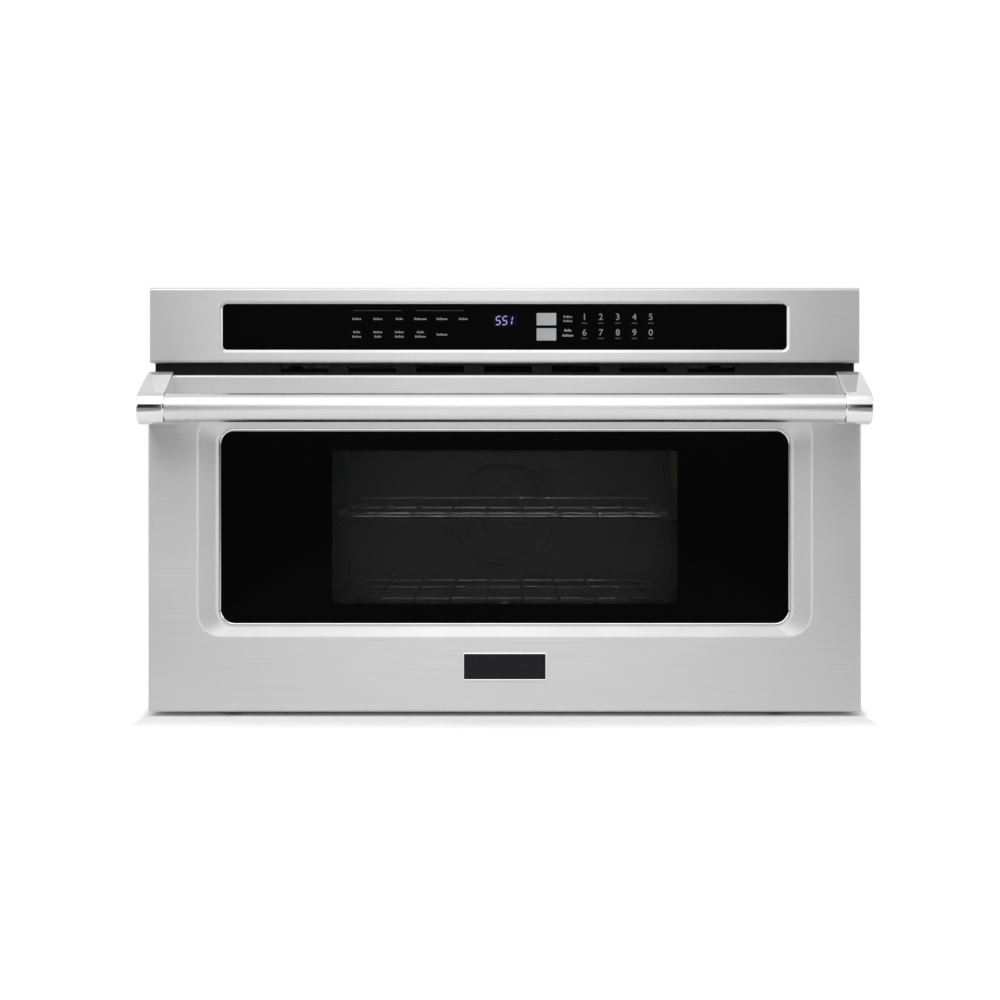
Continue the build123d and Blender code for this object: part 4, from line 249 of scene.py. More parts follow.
class Speckle(Effect):
    """Small round flecks scattered over enamel, or the crystals of galvanized sheet."""

    name = "speckle"
    inputs = (("Scale", 400.0), ("Size", 0.25))
    outputs = ("Mask", "Cell")

    @classmethod
    def wire(cls, wiring: Wiring, given: NodeOutputs) -> Sequence[NodeSocket]:
        """Distance to the cell's centre, cut off at the fleck's size, and the cell's own tone."""
        cells = wiring.node("TexVoronoi", {"Vector": given["Vector"], "Scale": given["Scale"]})
        inside = wiring.maths("LESS_THAN", cells["Distance"], given["Size"])
        return inside, wiring.node("SeparateColor", {0: cells["Color"]})[0]


class Brush(Wiring):
    """One material in the making."""

    def __init__(self, name: str) -> None:
        """Start a material of this name with a Principled shader."""
        self.material = bpy.data.materials.new(name)
        self.material.use_nodes = True
        super().__init__(self.material.node_tree)
        self.shader = self.nodes["Principled BSDF"]
        self.place = self.node("TexCoord")["Object"]

    def set(self, values: Values) -> None:
        """Feed the shader's sockets."""
        for name, value in values.items():
            self.feed(value, self.shader.inputs[name])

    def effect(self, kind: type[Effect], **values: float) -> NodeOutputs:
        """Place an effect on the object's own coordinates, with values for its inputs."""
        return self.node("Group", {"Vector": self.place, **values}, node_tree=kind.group())

    def mix(self, mask: NodeSocket, low: Colour | NodeSocket, high: Colour | NodeSocket) -> NodeSocket:
        """A colour that goes from low to high as a mask goes from 0 to 1."""
        ends = [end if isinstance(end, NodeSocket) else (*end, 1.0) for end in (low, high)]
        return self.node("Mix", {"Factor": mask, 6: ends[0], 7: ends[1]}, data_type="RGBA")[2]

    def tint(self, mask: NodeSocket, low: Colour | NodeSocket, high: Colour | NodeSocket) -> None:
        """Colour the surface by a mask."""
        self.set({"Base Color": self.mix(mask, low, high)})

    def gloss(self, mask: NodeSocket, low: float, spread: float) -> None:
        """Let the roughness rise from low by a spread as a mask goes from 0 to 1."""
        self.set({"Roughness": self.span(mask, low, low + spread)})

    def bump(self, height: NodeSocket, strength: float, distance: float) -> None:
        """Raise the surface by a height, where a height of 1 is a distance in metres."""
        values = {"Height": height, "Strength": strength, "Distance": distance}
        self.set({"Normal": self.node("Bump", values)[0]})


# Finishes


def toned(colour: Colour, by: float, lift: float = 0.0) -> Colour:
    """A colour that is made paler or darker."""
    return tuple(min(1.0, channel * by + lift) for channel in colour)


@dataclass(frozen=True)
class Finish:
    """What every finish has: a name, the record's slot that it is for, a colour and a roughness."""

    name: str
    slot: str
    colour: Colour
    roughness: float = 0.4

    def material(self) -> Material:
        """The finish's material, painted the first time that it is asked for."""
        made = bpy.data.materials.get(self.name)
        if made:
            return made
        brush = Brush(self.name)
        self.paint(brush)
        return brush.material

    def paint(self, brush: Brush) -> None:
        """Wire the material up.

        Args:
            brush: The brush that holds it.
        """
        raise NotImplementedError


@dataclass(frozen=True)
class BrushedSheet(Finish):
    """Stainless sheet with a fine straight grain."""

    grain: float = 0.15
    fineness: float = 700.0
    stretch: float = 0.015
    anisotropy: float = 0.5
    turn: float = 0.25

    def paint(self, brush: Brush) -> None:
        """Metal with grain in its tone and bump, and roughness that wanders a little."""
        grain = brush.effect(Grain, Fineness=self.fineness, Stretch=self.stretch)
        brush.tint(grain["Tone"], toned(self.colour, 1 - self.grain), self.colour)
        brush.gloss(brush.effect(Mottle, Scale=9.0)["Mask"], self.roughness - 0.03, spread=0.06)
        brush.set({"Metallic": 1.0, "Anisotropic": self.anisotropy, "Anisotropic Rotation": self.turn})
        brush.bump(grain["Height"], strength=0.12, distance=0.00002)


@dataclass(frozen=True)
class PolishedMetal(Finish):
    """Polished or plated metal with faint handling marks."""

    def paint(self, brush: Brush) -> None:
        """Bright metal whose tone and roughness wander a little."""
        marks = brush.effect(Mottle, Scale=30.0)["Mask"]
        brush.gloss(marks, self.roughness, spread=0.03)
        brush.tint(marks, toned(self.colour, 0.94), self.colour)
        brush.set({"Metallic": 1.0})


@dataclass(frozen=True)
class Enamel(Finish):
    """Fired enamel with fine pale flecks."""

    fleck: Colour = (0.2, 0.2, 0.2)
    fleck_size: float = 0.16
    fleck_scale: float = 350.0
    specular: float = 0.5

    def paint(self, brush: Brush) -> None:
        """Glossy coat over flecked colour, slightly uneven."""
        flecks = brush.effect(Speckle, Scale=self.fleck_scale, Size=self.fleck_size)["Mask"]
        uneven = brush.effect(Mottle, Scale=60.0)["Mask"]
        brush.tint(flecks, self.colour, self.fleck)
        brush.gloss(uneven, self.roughness, spread=0.08)
        brush.set({"Specular IOR Level": self.specular})
        brush.bump(uneven, strength=0.15, distance=0.0002)


@dataclass(frozen=True)
class SpangledSheet(Finish):
    """Galvanized sheet with the patchwork of zinc crystals."""

    crystal: float = 70.0

    def paint(self, brush: Brush) -> None:
        """Dull metal whose tone and roughness change from crystal to crystal."""
        crystals = brush.effect(Speckle, Scale=self.crystal, Size=0.0)["Cell"]
        streaks = brush.effect(Mottle, Scale=5.0)["Mask"]
        spangle = brush.mix(crystals, self.colour, toned(self.colour, 1.12))
        brush.tint(brush.span(streaks, 0.0, 0.35), spangle, toned(self.colour, 0.9))
        brush.gloss(crystals, self.roughness - 0.04, spread=0.08)
        brush.set({"Metallic": 0.85})


@dataclass(frozen=True)
class Plastic(Finish):
    """Moulded plastic with a fine matt texture."""

    texture: float = 900.0

    def paint(self, brush: Brush) -> None:
        """Plain colour under a fine moulded grain."""
        tone = brush.effect(Mottle, Scale=25.0)["Mask"]
        brush.tint(tone, self.colour, toned(self.colour, 1.12, lift=0.002))
        brush.gloss(tone, self.roughness, spread=0.06)
        brush.bump(brush.effect(Mottle, Scale=self.texture)["Mask"], strength=0.1, distance=0.00008)


@dataclass(frozen=True)
class Glass(Finish):
    """Sheet glass, tinted or clear, that lets light straight through by its alpha."""

    alpha: float = 0.3
    specular: float = 0.5

    def paint(self, brush: Brush) -> None:
        """Smooth dielectric with faint wiping marks in its gloss."""
        marks = brush.effect(Mottle, Scale=7.0)["Mask"]
        brush.gloss(marks, self.roughness, spread=0.02)
        brush.tint(marks, self.colour, toned(self.colour, 1.1))
        brush.set({"Alpha": self.alpha, "Specular IOR Level": self.specular})


@dataclass(frozen=True)
class WindowPane(Glass):
    """The door's outer glass: printed black, with a tinted window left clear in the middle, in metres."""

    half_width: float = 0.1845
    low: float = 0.1183
    high: float = 0.2825
    edge: float = 0.0012
    tint: float = 0.15

    def paint(self, brush: Brush) -> None:
        """The glass, opaque where its distance from the window's middle passes the window's size."""
        super().paint(brush)
        place = brush.axes(brush.place)
        half_height = (self.high - self.low) / 2
        across = brush.ramp(brush.away(place["X"]), (self.half_width - self.edge, self.half_width))
        height = brush.away(place["Z"], (self.low + self.high) / 2)
        printed = brush.maths("MAXIMUM", across, brush.ramp(height, (half_height - self.edge, half_height)))
        brush.set({"Alpha": brush.span(printed, self.tint, 1.0)})


@dataclass(frozen=True)
class PerforatedSheet(Finish):
    """Blackened screen sheet, pierced with rows of fine round holes."""

    pitch: float = 0.0011
    open_share: float = 0.9
    rim: Span = (-1.5, -0.5)

    def paint(self, brush: Brush) -> None:
        """Alpha that drops inside each hole, with holes in straight rows by X and Z."""
        place = brush.axes(brush.place)
        turns = (brush.maths("MULTIPLY", place[axis], 2 * math.pi / self.pitch) for axis in "XZ")
        waves = brush.maths("ADD", *(brush.maths("COSINE", turn) for turn in turns))
        uneven = brush.effect(Mottle, Scale=60.0)["Mask"]
        brush.tint(uneven, self.colour, toned(self.colour, 1.5))
        hole = brush.ramp(waves, self.rim, 1.0, 1.0 - self.open_share)
        brush.set({"Alpha": hole, "Roughness": self.roughness})


@dataclass(frozen=True)
class LitSegment(Finish):
    """Display segments that glow by themselves, not quite evenly."""

    strength: float = 1.0
    unlit: Colour = (0.01, 0.01, 0.02)

    def paint(self, brush: Brush) -> None:
        """Emission in one colour that a fine mottle breaks up."""
        brush.set({"Base Color": (*self.unlit, 1.0), "Roughness": self.roughness})
        uneven = brush.effect(Mottle, Scale=500.0)["Mask"]
        glow = brush.mix(uneven, toned(self.colour, 0.8), self.colour)
        brush.set({"Emission Color": glow, "Emission Strength": self.strength})


class Metal(Enum):
    """The metals of the oven."""

    # The fascia's colour is paler than the door's: painted light, for the light that the fascia catches.
    FASCIA = BrushedSheet("brushed_fascia", "steel_face", (0.64,) * 3, 0.36, grain=0.05, anisotropy=0.9)
    DOOR = BrushedSheet("brushed_door", "steel_face", (0.61, 0.61, 0.615), 0.36, grain=0.05, anisotropy=0.9)
    TUBE = BrushedSheet("bright_tube", "polished_tube", (0.72,) * 3, 0.25, grain=0.06)
    CHROME = PolishedMetal("polished_chrome", "chrome", (0.82, 0.82, 0.83), 0.05)
    RACK = PolishedMetal("plated_wire", "rack_chrome", (0.78, 0.78, 0.79), 0.2)
    ZINC = SpangledSheet("galvanized_sheet", "galvanized", (0.44, 0.45, 0.46), 0.52, crystal=110.0)
    PLATED = PolishedMetal("zinc_plate", "zinc_steel", (0.55, 0.55, 0.54), 0.3)
    SPRING = PolishedMetal("spring_wire", "spring_steel", (0.30, 0.30, 0.31), 0.35)
    ALUMINIUM = BrushedSheet("brushed_aluminium", "bare_aluminium", (0.70, 0.71, 0.72), 0.42, grain=0.1)
    HEATER = PolishedMetal("heater_sheath", "heater_steel", (0.14, 0.13, 0.13), 0.45)
    MOTOR = SpangledSheet("motor_case", "motor_steel", (0.38, 0.39, 0.40), 0.45, crystal=300.0)


BLACK = (0.0015, 0.0015, 0.0018)


class Coat(Enum):
    """Enamels, paints, plastics and glass, where the first of a slot is the one that its CAD nodes get."""

    DOOR_BLACK = Enamel("gloss_black", "black_enamel", (0.012, 0.012, 0.013), 0.3, fleck=(0.03,) * 3)
    CAVITY = Enamel("flecked_enamel", "cavity_enamel", (0.045, 0.045, 0.048), 0.35, fleck=(0.12,) * 3)
    TRIM = Enamel("dark_paint", "dark_trim", (0.007, 0.007, 0.008), fleck=(0.012,) * 3, specular=0.15)
    PLASTIC = Plastic("moulded_black", "black_plastic", (0.022, 0.022, 0.024), 0.5)
    PALE = Plastic("pale_plastic", "white_plastic", (0.62, 0.61, 0.58), 0.5)
    MICA = Plastic("mica_sheet", "mica", (0.34, 0.27, 0.18), 0.6)
    BOARD = Plastic("circuit_board", "board", (0.02, 0.10, 0.05), 0.5)
    SCREEN = PerforatedSheet("perforated_screen", "screen", (0.006,) * 3, 0.6)
    BLACK_GLASS = Glass("printed_glass", "black_glass", BLACK, 0.03, alpha=1.0, specular=0.012)
    WINDOW = WindowPane("window_glass", "tinted_glass", BLACK, 0.03, specular=0.012)
    PRINT = Plastic("grey_print", "white_plastic", (0.19, 0.19, 0.195), 0.6)
    FAINT_PRINT = Plastic("faint_print", "white_plastic", (0.03, 0.03, 0.031), 0.6)
    BRIGHT_PRINT = Plastic("bright_print", "white_plastic", (0.26, 0.26, 0.27), 0.6)
    PAD = Plastic("pale_pad", "white_plastic", (0.33, 0.34, 0.35), 0.5)
    # The display window's faint violet tint is a painted glow; the window gives no light.
    DISPLAY = Glass("display_glow", "black_glass", (0.004, 0.003, 0.012), 0.1, alpha=1.0, specular=0.012)
    LIT = LitSegment("lit_segment", "black_glass", (0.42, 0.38, 0.80))
    PLATE = Enamel("plate_enamel", "black_enamel", (0.01, 0.01, 0.012), 0.3, fleck=(0.02,) * 3, specular=0.12)
    CLEAR = Glass("plain_glass", "clear_glass", (0.5, 0.52, 0.51), 0.03, alpha=0.05)
    TURNTABLE = Glass("pressed_glass", "turntable_glass", (0.55, 0.58, 0.57), 0.06, alpha=0.35)


def dress(piece: Object, finish: Finish) -> None:
    """Give a piece one finish all over.

    Args:
        piece: A new piece or a CAD node.
        finish: The finish that its slots get.
    """
    if not piece.material_slots:
        piece.data.materials.append(finish.material())
    for slot in piece.material_slots:
        slot.material = finish.material()


def dress_nodes() -> None:
    """Give every CAD node the first finish of its slot in the record."""
    finishes = {option.value.slot: option.value for option in reversed([*Metal, *Coat])}
    for part in frame["record"]["subparts"]:
        dress(frame["nodes"][part["node"]], finishes[part["material_slot"]])


# The studio


@dataclass(frozen=True)
class Lamp:
    """A rectangular soft lamp, in metres and watts."""

    name: str
    place: Place
    size: Span
    power: float
    aim: Place = (0.0, 0.0, 0.22)

    def hang(self) -> None:
        """Hang the lamp, facing what it aims at."""
        light = bpy.data.lights.new(self.name, "AREA")
        light.shape = "RECTANGLE"
        light.size, light.size_y = self.size
        light.energy = self.power
        holder = bpy.data.objects.new(self.name, light)
        holder.location = self.place
        holder.rotation_euler = (Vector(self.aim) - Vector(self.place)).to_track_quat("-Z", "Y").to_euler()
        bpy.context.scene.collection.objects.link(holder)


@dataclass
class Studio:
    """Camera, floor, background and lamps.

    The camera stands where the photograph's did: in front of the door, a little above its middle.
    Walls, ceiling and cards are strengths, each with the stretch of direction in which it comes in.
    """

    focal_px: float = 2077.0
    frame_px: float = 1000.0
    middle_x_px: float = 504.7
    horizon_px: float = 425.0
    distance: float = 2.2
    eye_height: float = 0.309
    sensor: float = 36.0
    white: float = 1.0
    fill: float = 0.55
    walls: float = 1.2
    ceiling: float = 1.05
    ceiling_z: Span = (0.40, 0.55)
    left_wall: float = 0.8
    left_x: Span = (-0.05, -0.16)
    right_wall: float = 0.8
    right_x: Span = (0.0, 0.30)
    back_wall: float = 0.82
    back_y: Span = (-0.2, 0.2)
    card: float = 0.03
    card_x: Span = (0.125, 0.155)
    card_y: Span = (-0.2, 0.0)
    card_z: Span = (0.30, 0.42)
    floor_size: float = 30.0
    floor_pale: float = 0.9
    floor_glow: float = 0.55
    floor_mirrored: float = 0.15
    # Where the floor's glow is held back round the oven, which paints shade there besides the real shadow.
    painted_shade_reach: Span = (0.0, 0.15)
    painted_shade_ahead: float = -0.06
    side_steepness: float = 8.0
    # How dark the floor's two patches of painted dark reflection are, and where they lie.
    painted_patch_shade: float = 0.2
    painted_patch_x: Span = (0.42, 0.55)
    painted_patch_y: Span = (-0.75, -1.0)
    lamps: tuple[Lamp, ...] = (
        Lamp("key_lamp", (-0.5, -1.7, 2.2), (2.4, 2.2), 19.0),
        Lamp("left_lamp", (-2.2, -2.0, 1.4), (1.6, 1.6), 20.0),
        Lamp("right_lamp", (2.4, -1.6, 1.2), (1.2, 1.6), 22.0),
        Lamp("cavity_lamp", (0.0, -0.197, 0.286), (0.34, 0.01), 0.08, (0.0, -0.05, 0.15)),
    )

    def build(self) -> None:
        """Set the whole studio up."""
        self.camera()
        self.floor()
        self.world()
        for lamp in self.lamps:
            lamp.hang()
        bpy.context.scene.view_settings.view_transform = "Standard"

    def camera(self) -> None:
        """Place the camera level, square to the door, shifted as the photograph is framed."""
        lens = bpy.data.cameras.new("camera")
        lens.sensor_width = self.sensor
        lens.lens = self.focal_px / self.frame_px * self.sensor
        lens.shift_x = -(self.middle_x_px - self.frame_px / 2) / self.frame_px
        lens.shift_y = -(self.frame_px / 2 - self.horizon_px) / self.frame_px
        eye = bpy.data.objects.new("camera", lens)
        eye.location = (0.0, DOOR_FACE - self.distance, self.eye_height)
        eye.rotation_euler = UPRIGHT
        bpy.context.scene.collection.objects.link(eye)
        bpy.context.scene.camera = eye

    def floor(self) -> None:
        """Lay a pale floor that is white to the camera apart from the oven's shadow, with a painted shade round the
        oven's footprint.

        Metal also mirrors two dark patches on it, one on each side, that are painted for reflections alone: painted
        dark reflections.
        """
        bpy.ops.mesh.primitive_plane_add(size=self.floor_size, location=(0.0, 0.0, CAD_BOX[0][2]))
        floor = bpy.context.object
        floor.name = "floor"
        brush = Brush("pale_floor")
        path = brush.node("LightPath")
        place = brush.axes(brush.place)
        # Painted dark reflections: two patches of the floor are darker, only where metal mirrors it.
        painted_patches = brush.product(
            brush.ramp(brush.away(place["X"]), self.painted_patch_x),
            brush.ramp(place["Y"], self.painted_patch_y),
            path["Is Glossy Ray"],
        )
        pale = (self.floor_pale,) * 3
        brush.tint(painted_patches, pale, toned(pale, self.painted_patch_shade))
        # The glow is held back near the oven's footprint: a painted shade round it, on top of the real shadow.
        middle, half = (CAD_BOX[0] + CAD_BOX[1]) / 2, (CAD_BOX[1] - CAD_BOX[0]) / 2
        beside = brush.maths("SUBTRACT", brush.away(place["X"]), half.x)
        beside = brush.maths("MULTIPLY", beside, self.side_steepness)
        ahead = brush.maths("SUBTRACT", brush.away(place["Y"], middle.y), half.y + self.painted_shade_ahead)
        glow = brush.ramp(brush.maths("MAXIMUM", beside, ahead), self.painted_shade_reach, 0.0, self.floor_glow)
        glow = brush.maths("MULTIPLY", glow, path["Is Camera Ray"])
        lift = brush.maths("MULTIPLY", path["Is Glossy Ray"], self.floor_mirrored)
        brush.set({"Emission Strength": brush.maths("ADD", glow, lift), "Emission Color": WHITE})
        brush.set({"Roughness": 0.9, "Specular IOR Level": 0.0})
        floor.data.materials.append(brush.material)

    def world(self) -> None:
        """Make the background white to the camera, and the studio's walls and cards in reflections."""
        world = bpy.data.worlds.new("studio")
        bpy.context.scene.world = world
        world.use_nodes = True
        wiring = Wiring(world.node_tree)
        seen = wiring.nodes["Background"]
        seen.inputs["Color"].default_value = WHITE
        seen.inputs["Strength"].default_value = self.white
        fill, mirrored = (
            wiring.node("Background", {"Color": WHITE, "Strength": strength})[0]
            for strength in (self.fill, self.surround(wiring))
        )
        path = wiring.node("LightPath")
        either = wiring.maths("MAXIMUM", path["Is Glossy Ray"], path["Is Transmission Ray"])
        unseen = wiring.node("MixShader", {0: either, 1: fill, 2: mirrored})[0]
        last = wiring.node("MixShader", {0: path["Is Camera Ray"], 1: unseen, 2: seen.outputs[0]})[0]
        wiring.feed(last, wiring.nodes["World Output"].inputs["Surface"])

    def surround(self, wiring: Wiring) -> NodeSocket:
        """How bright the studio is in each direction.

        Args:
            wiring: The world's nodes.

        Returns:
            The brightness's socket.
        """
        way = wiring.axes(wiring.node("TexCoord")["Generated"])
        card = wiring.product(
            wiring.ramp(wiring.away(way["X"]), self.card_x),
            wiring.ramp(way["Z"], self.card_z, 1.0, 0.0),
            wiring.ramp(way["Y"], self.card_y, 1.0, 0.0),
        )
        return wiring.product(
            wiring.ramp(way["Z"], self.ceiling_z, 1.0, self.ceiling),
            wiring.ramp(way["X"], self.left_x, 1.0, self.left_wall),
            wiring.ramp(way["X"], self.right_x, 1.0, self.right_wall),
            wiring.ramp(way["Y"], self.back_y, self.walls, self.walls * self.back_wall),
            wiring.ramp(card, (0.0, 1.0), 1.0, self.card),
        )


# Modelling


class Bench:
    """A piece on the bench: one mesh that edit mode's operators shape, with its object at the origin."""

    corner_steps = 8
    turned_sides = 96
    bridge_gap = 100.0
    seam = 0.002
    weld = 0.0005

    def __init__(self, name: str) -> None:
        """Put an empty mesh of this name on the bench."""
        bpy.ops.object.select_all(action="DESELECT")
        bpy.ops.mesh.primitive_plane_add(size=1.0)
        self.piece = bpy.context.object
        self.piece.name = self.piece.data.name = name
        self.loops = 0
        self.open()
        bpy.ops.mesh.select_all(action="SELECT")
        bpy.ops.mesh.delete(type="VERT")

    @classmethod
    def of(cls, piece: Object, loops: int = 0) -> "Bench":
        """A bench with a piece that is there already.

        Args:
            piece: The piece.
            loops: How many loops it keeps.

        Returns:
            The bench, with the piece in edit mode.
        """
        bench = cls.__new__(cls)
        bench.piece, bench.loops = piece, loops
        bench.open()
        return bench

    def hold(self) -> None:
        """Leave edit mode, and select the piece alone."""
        if bpy.context.object.mode == "EDIT":
            bpy.ops.object.mode_set(mode="OBJECT")
        bpy.ops.object.select_all(action="DESELECT")
        self.piece.select_set(True)
        bpy.context.view_layer.objects.active = self.piece

    def open(self) -> None:
        """Put the piece on the bench, in edit mode."""
        self.hold()
        bpy.ops.object.mode_set(mode="EDIT")

    def deselect(self) -> None:
        """Pick points from here on, with none picked yet."""
        bpy.ops.mesh.select_mode(type="VERT")
        bpy.ops.mesh.select_all(action="DESELECT")

    def keep(self) -> int:
        """Keep the selected points as a loop, and return its number."""
        bpy.ops.object.vertex_group_add()
        bpy.ops.object.vertex_group_assign()
        self.loops += 1
        return self.loops - 1

    def pick(self, *loops: int) -> None:
        """Select the points of some loops and nothing else.

        Args:
            *loops: The loops' numbers.
        """
        self.deselect()
        for loop in loops:
            self.piece.vertex_groups.active_index = loop
            bpy.ops.object.vertex_group_select()

    def pick_where(self, kind: str, wanted: Callable[[Part], bool]) -> None:
        """Select the edges or faces that answer a test, and nothing else.

        Args:
            kind: EDGE or FACE.
            wanted: The test, given an edge or a face.
        """
        bpy.ops.mesh.select_mode(type=kind)
        mesh = bmesh.from_edit_mesh(self.piece.data)
        for part in mesh.edges if kind == "EDGE" else mesh.faces:
            part.select_set(wanted(part))
        bmesh.update_edit_mesh(self.piece.data)

    def ring(self, middle: Vector, width: float, height: float, radius: float) -> int:
        """Add an upright rectangular loop of edges with round corners.

        Args:
            middle: Its middle.
            width: Its whole width.
            height: Its whole height.
            radius: The corners' radius.

        Returns:
            The loop's number.
        """
        self.deselect()
        bpy.ops.mesh.primitive_plane_add(size=1.0, location=middle, rotation=UPRIGHT)
        bpy.ops.transform.resize(value=(width, 1.0, height), center_override=middle)
        bpy.ops.mesh.bevel(offset=radius, offset_type="OFFSET", segments=self.corner_steps, affect="VERTICES")
        loop = self.keep()
        bpy.ops.mesh.delete(type="ONLY_FACE")
        return loop

    def join(self, loops: Sequence[int], closed: bool = False) -> None:
        """Stretch a surface from loop to loop.

        Two loops in one plane can be joined crosswise, so the second is drawn away while its bridge is made.

        Args:
            loops: The loops' numbers in order.
            closed: Whether the last is joined to the first again.
        """
        ends = list(loops[1:]) + ([loops[0]] if closed else [])
        away = Vector((0.0, mm(self.bridge_gap), 0.0))
        for first, second in zip(loops, ends):
            self.pick(second)
            bpy.ops.transform.translate(value=away)
            self.pick(first, second)
            bpy.ops.mesh.bridge_edge_loops()
            self.pick(second)
            bpy.ops.transform.translate(value=-away)

    def fill(self, loops: Sequence[int]) -> None:
        """Stretch a surface from loop to loop, and close its two ends with flat faces.

        Args:
            loops: The loops' numbers in order.
        """
        self.join(loops)
        for end in (loops[0], loops[-1]):
            self.pick(end)
            bpy.ops.mesh.edge_face_add()

    def chain(self, points: Sequence[Sequence[float]]) -> None:
        """Add a line of edges, left selected.

        Args:
            points: Where it goes, in metres.
        """
        places = [Vector(point) for point in points]
        self.deselect()
        bpy.ops.mesh.primitive_plane_add(size=mm(0.1), location=places[0])
        bpy.ops.mesh.merge(type="CENTER")
        bpy.ops.mesh.hide(unselected=True)
        for here, there in zip(places, places[1:]):
            bpy.ops.mesh.extrude_vertices_move(TRANSFORM_OT_translate={"value": there - here})
        bpy.ops.mesh.select_all(action="SELECT")
        line = self.keep()
        bpy.ops.mesh.reveal(select=False)
        self.pick(line)

    def turn(self, points: Sequence[Sequence[float]], centre: Vector, axis: Sequence[float]) -> None:
        """Spin a line of edges once round an axis.

        Args:
            points: The line's points.
            centre: A point on the axis.
            axis: The axis.
        """
        self.chain(points)
        bpy.ops.mesh.spin(steps=self.turned_sides, angle=2 * math.pi, center=centre, axis=axis)
        bpy.ops.mesh.select_all(action="SELECT")
        bpy.ops.mesh.remove_doubles(threshold=mm(self.seam))

    def plate(self, points: Sequence[Sequence[float]], thickness: Vector) -> None:
        """Fill an outline and draw it out to a solid.

        Args:
            points: The outline's corners.
            thickness: Which way it is drawn out, and how far.
        """
        self.chain(points)
        bpy.ops.mesh.edge_face_add()
        bpy.ops.mesh.extrude_region_move(TRANSFORM_OT_translate={"value": thickness})

    def block(self, low: Sequence[float], high: Sequence[float]) -> None:
        """Add a rectangular block between two corners, left selected.

        Args:
            low: Its lowest corner.
            high: Its highest corner.
        """
        middle = (Vector(low) + Vector(high)) / 2
        self.deselect()
        bpy.ops.mesh.primitive_cube_add(size=1.0, location=middle)
        bpy.ops.transform.resize(value=Vector(high) - Vector(low), center_override=middle)

    def rod(self, start: Sequence[float], end: Sequence[float], radius: float, sides: int = 16) -> None:
        """Add a round rod between two points, left selected.

        Args:
            start: The middle of one end.
            end: The middle of the other.
            radius: Its radius.
            sides: How many sides it has.
        """
        run = Vector(end) - Vector(start)
        self.deselect()
        bpy.ops.mesh.primitive_cylinder_add(
            vertices=sides,
            radius=radius,
            depth=run.length,
            location=(Vector(start) + Vector(end)) / 2,
            rotation=run.to_track_quat("Z", "Y").to_euler(),
        )

    def ease(self, width: float, segments: int = 3) -> None:
        """Round the selected edges."""
        bpy.ops.mesh.bevel(offset=width, offset_type="OFFSET", segments=segments, affect="EDGES")

    def ease_ends(self, width: float, sides: int = 16, newest: bool = False) -> None:
        """Round the ends of the rods on the bench.

        Args:
            width: How far the rounding reaches.
            sides: How many sides the rods have.
            newest: Whether it is only the rod that is still selected.
        """
        self.pick_where("FACE", lambda face: len(face.verts) == sides and (face.select or not newest))
        self.ease(width, 2)

    def repeat(self, copies: int, step: Vector) -> None:
        """Copy the selected form in a row, each copy a step on from the last."""
        for _ in range(copies):
            bpy.ops.mesh.duplicate_move(TRANSFORM_OT_translate={"value": step})

    def clean(self) -> None:
        """Merge points that lie on each other and turn every face outward."""
        bpy.ops.mesh.select_all(action="SELECT")
        bpy.ops.mesh.remove_doubles(threshold=mm(self.weld))
        bpy.ops.mesh.normals_make_consistent(inside=False)
        bpy.ops.mesh.select_all(action="DESELECT")

    def modify(self, kind: str, **settings: object) -> None:
        """Take the piece off the bench, give it a modifier and apply it.

        Args:
            kind: Blender's name of the modifier.
            **settings: Its settings.
        """
        self.hold()
        modifier = self.piece.modifiers.new(kind.lower(), kind)
        for name, value in settings.items():
            setattr(modifier, name, value)
        bpy.ops.object.modifier_apply(modifier=modifier.name)

    def carve(self, low: Sequence[float], high: Sequence[float]) -> None:
        """Cut a rectangular block out of the piece.

        Args:
            low: The block's lowest corner.
            high: Its highest corner.
        """
        self.clean()
        self.hold()
        notch = Bench("notch")
        notch.block(low, high)
        self.modify("BOOLEAN", operation="DIFFERENCE", object=notch.piece)
        bpy.data.objects.remove(notch.piece)
        self.open()

    def twin(self, name: str) -> "Bench":
        """A bench with a second piece, which mirrors this one across the oven's middle plane.

        Args:
            name: The second piece's name.

        Returns:
            The bench with the second piece, in edit mode.
        """
        self.hold()
        bpy.ops.object.duplicate(linked=False)
        other = bpy.context.object
        other.name = other.data.name = name
        bpy.ops.transform.resize(value=(-1.0, 1.0, 1.0), center_override=(0.0, 0.0, 0.0))
        bpy.ops.object.transform_apply(location=True, rotation=True, scale=True)
        return Bench.of(other, self.loops)

    def finish(self, choice: Metal | Coat, body: str, *nodes: str, angle: float = 40.0) -> None:
        """Take the piece off the bench, dress it, hang it on its body and hide the CAD nodes that it stands for.

        Its large flat faces rule the shading at their rims, so that flats stay flat.

        Args:
            choice: The finish that it is dressed in.
            body: The body that it rides on.
            *nodes: The CAD nodes that it stands for.
            angle: Edges that turn by more than this many degrees stay sharp.
        """
        self.clean()
        self.hold()
        self.piece.vertex_groups.clear()
        bpy.ops.object.shade_smooth_by_angle(angle=math.radians(angle))
        self.modify("WEIGHTED_NORMAL", keep_sharp=True, weight=100)
        self.piece.data.materials.clear()
        dress(self.piece, choice.value)
        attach(self.piece, body)
        for node in nodes:
            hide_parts(node)
        log.info("%s: %d faces", self.piece.name, len(self.piece.data.polygons))


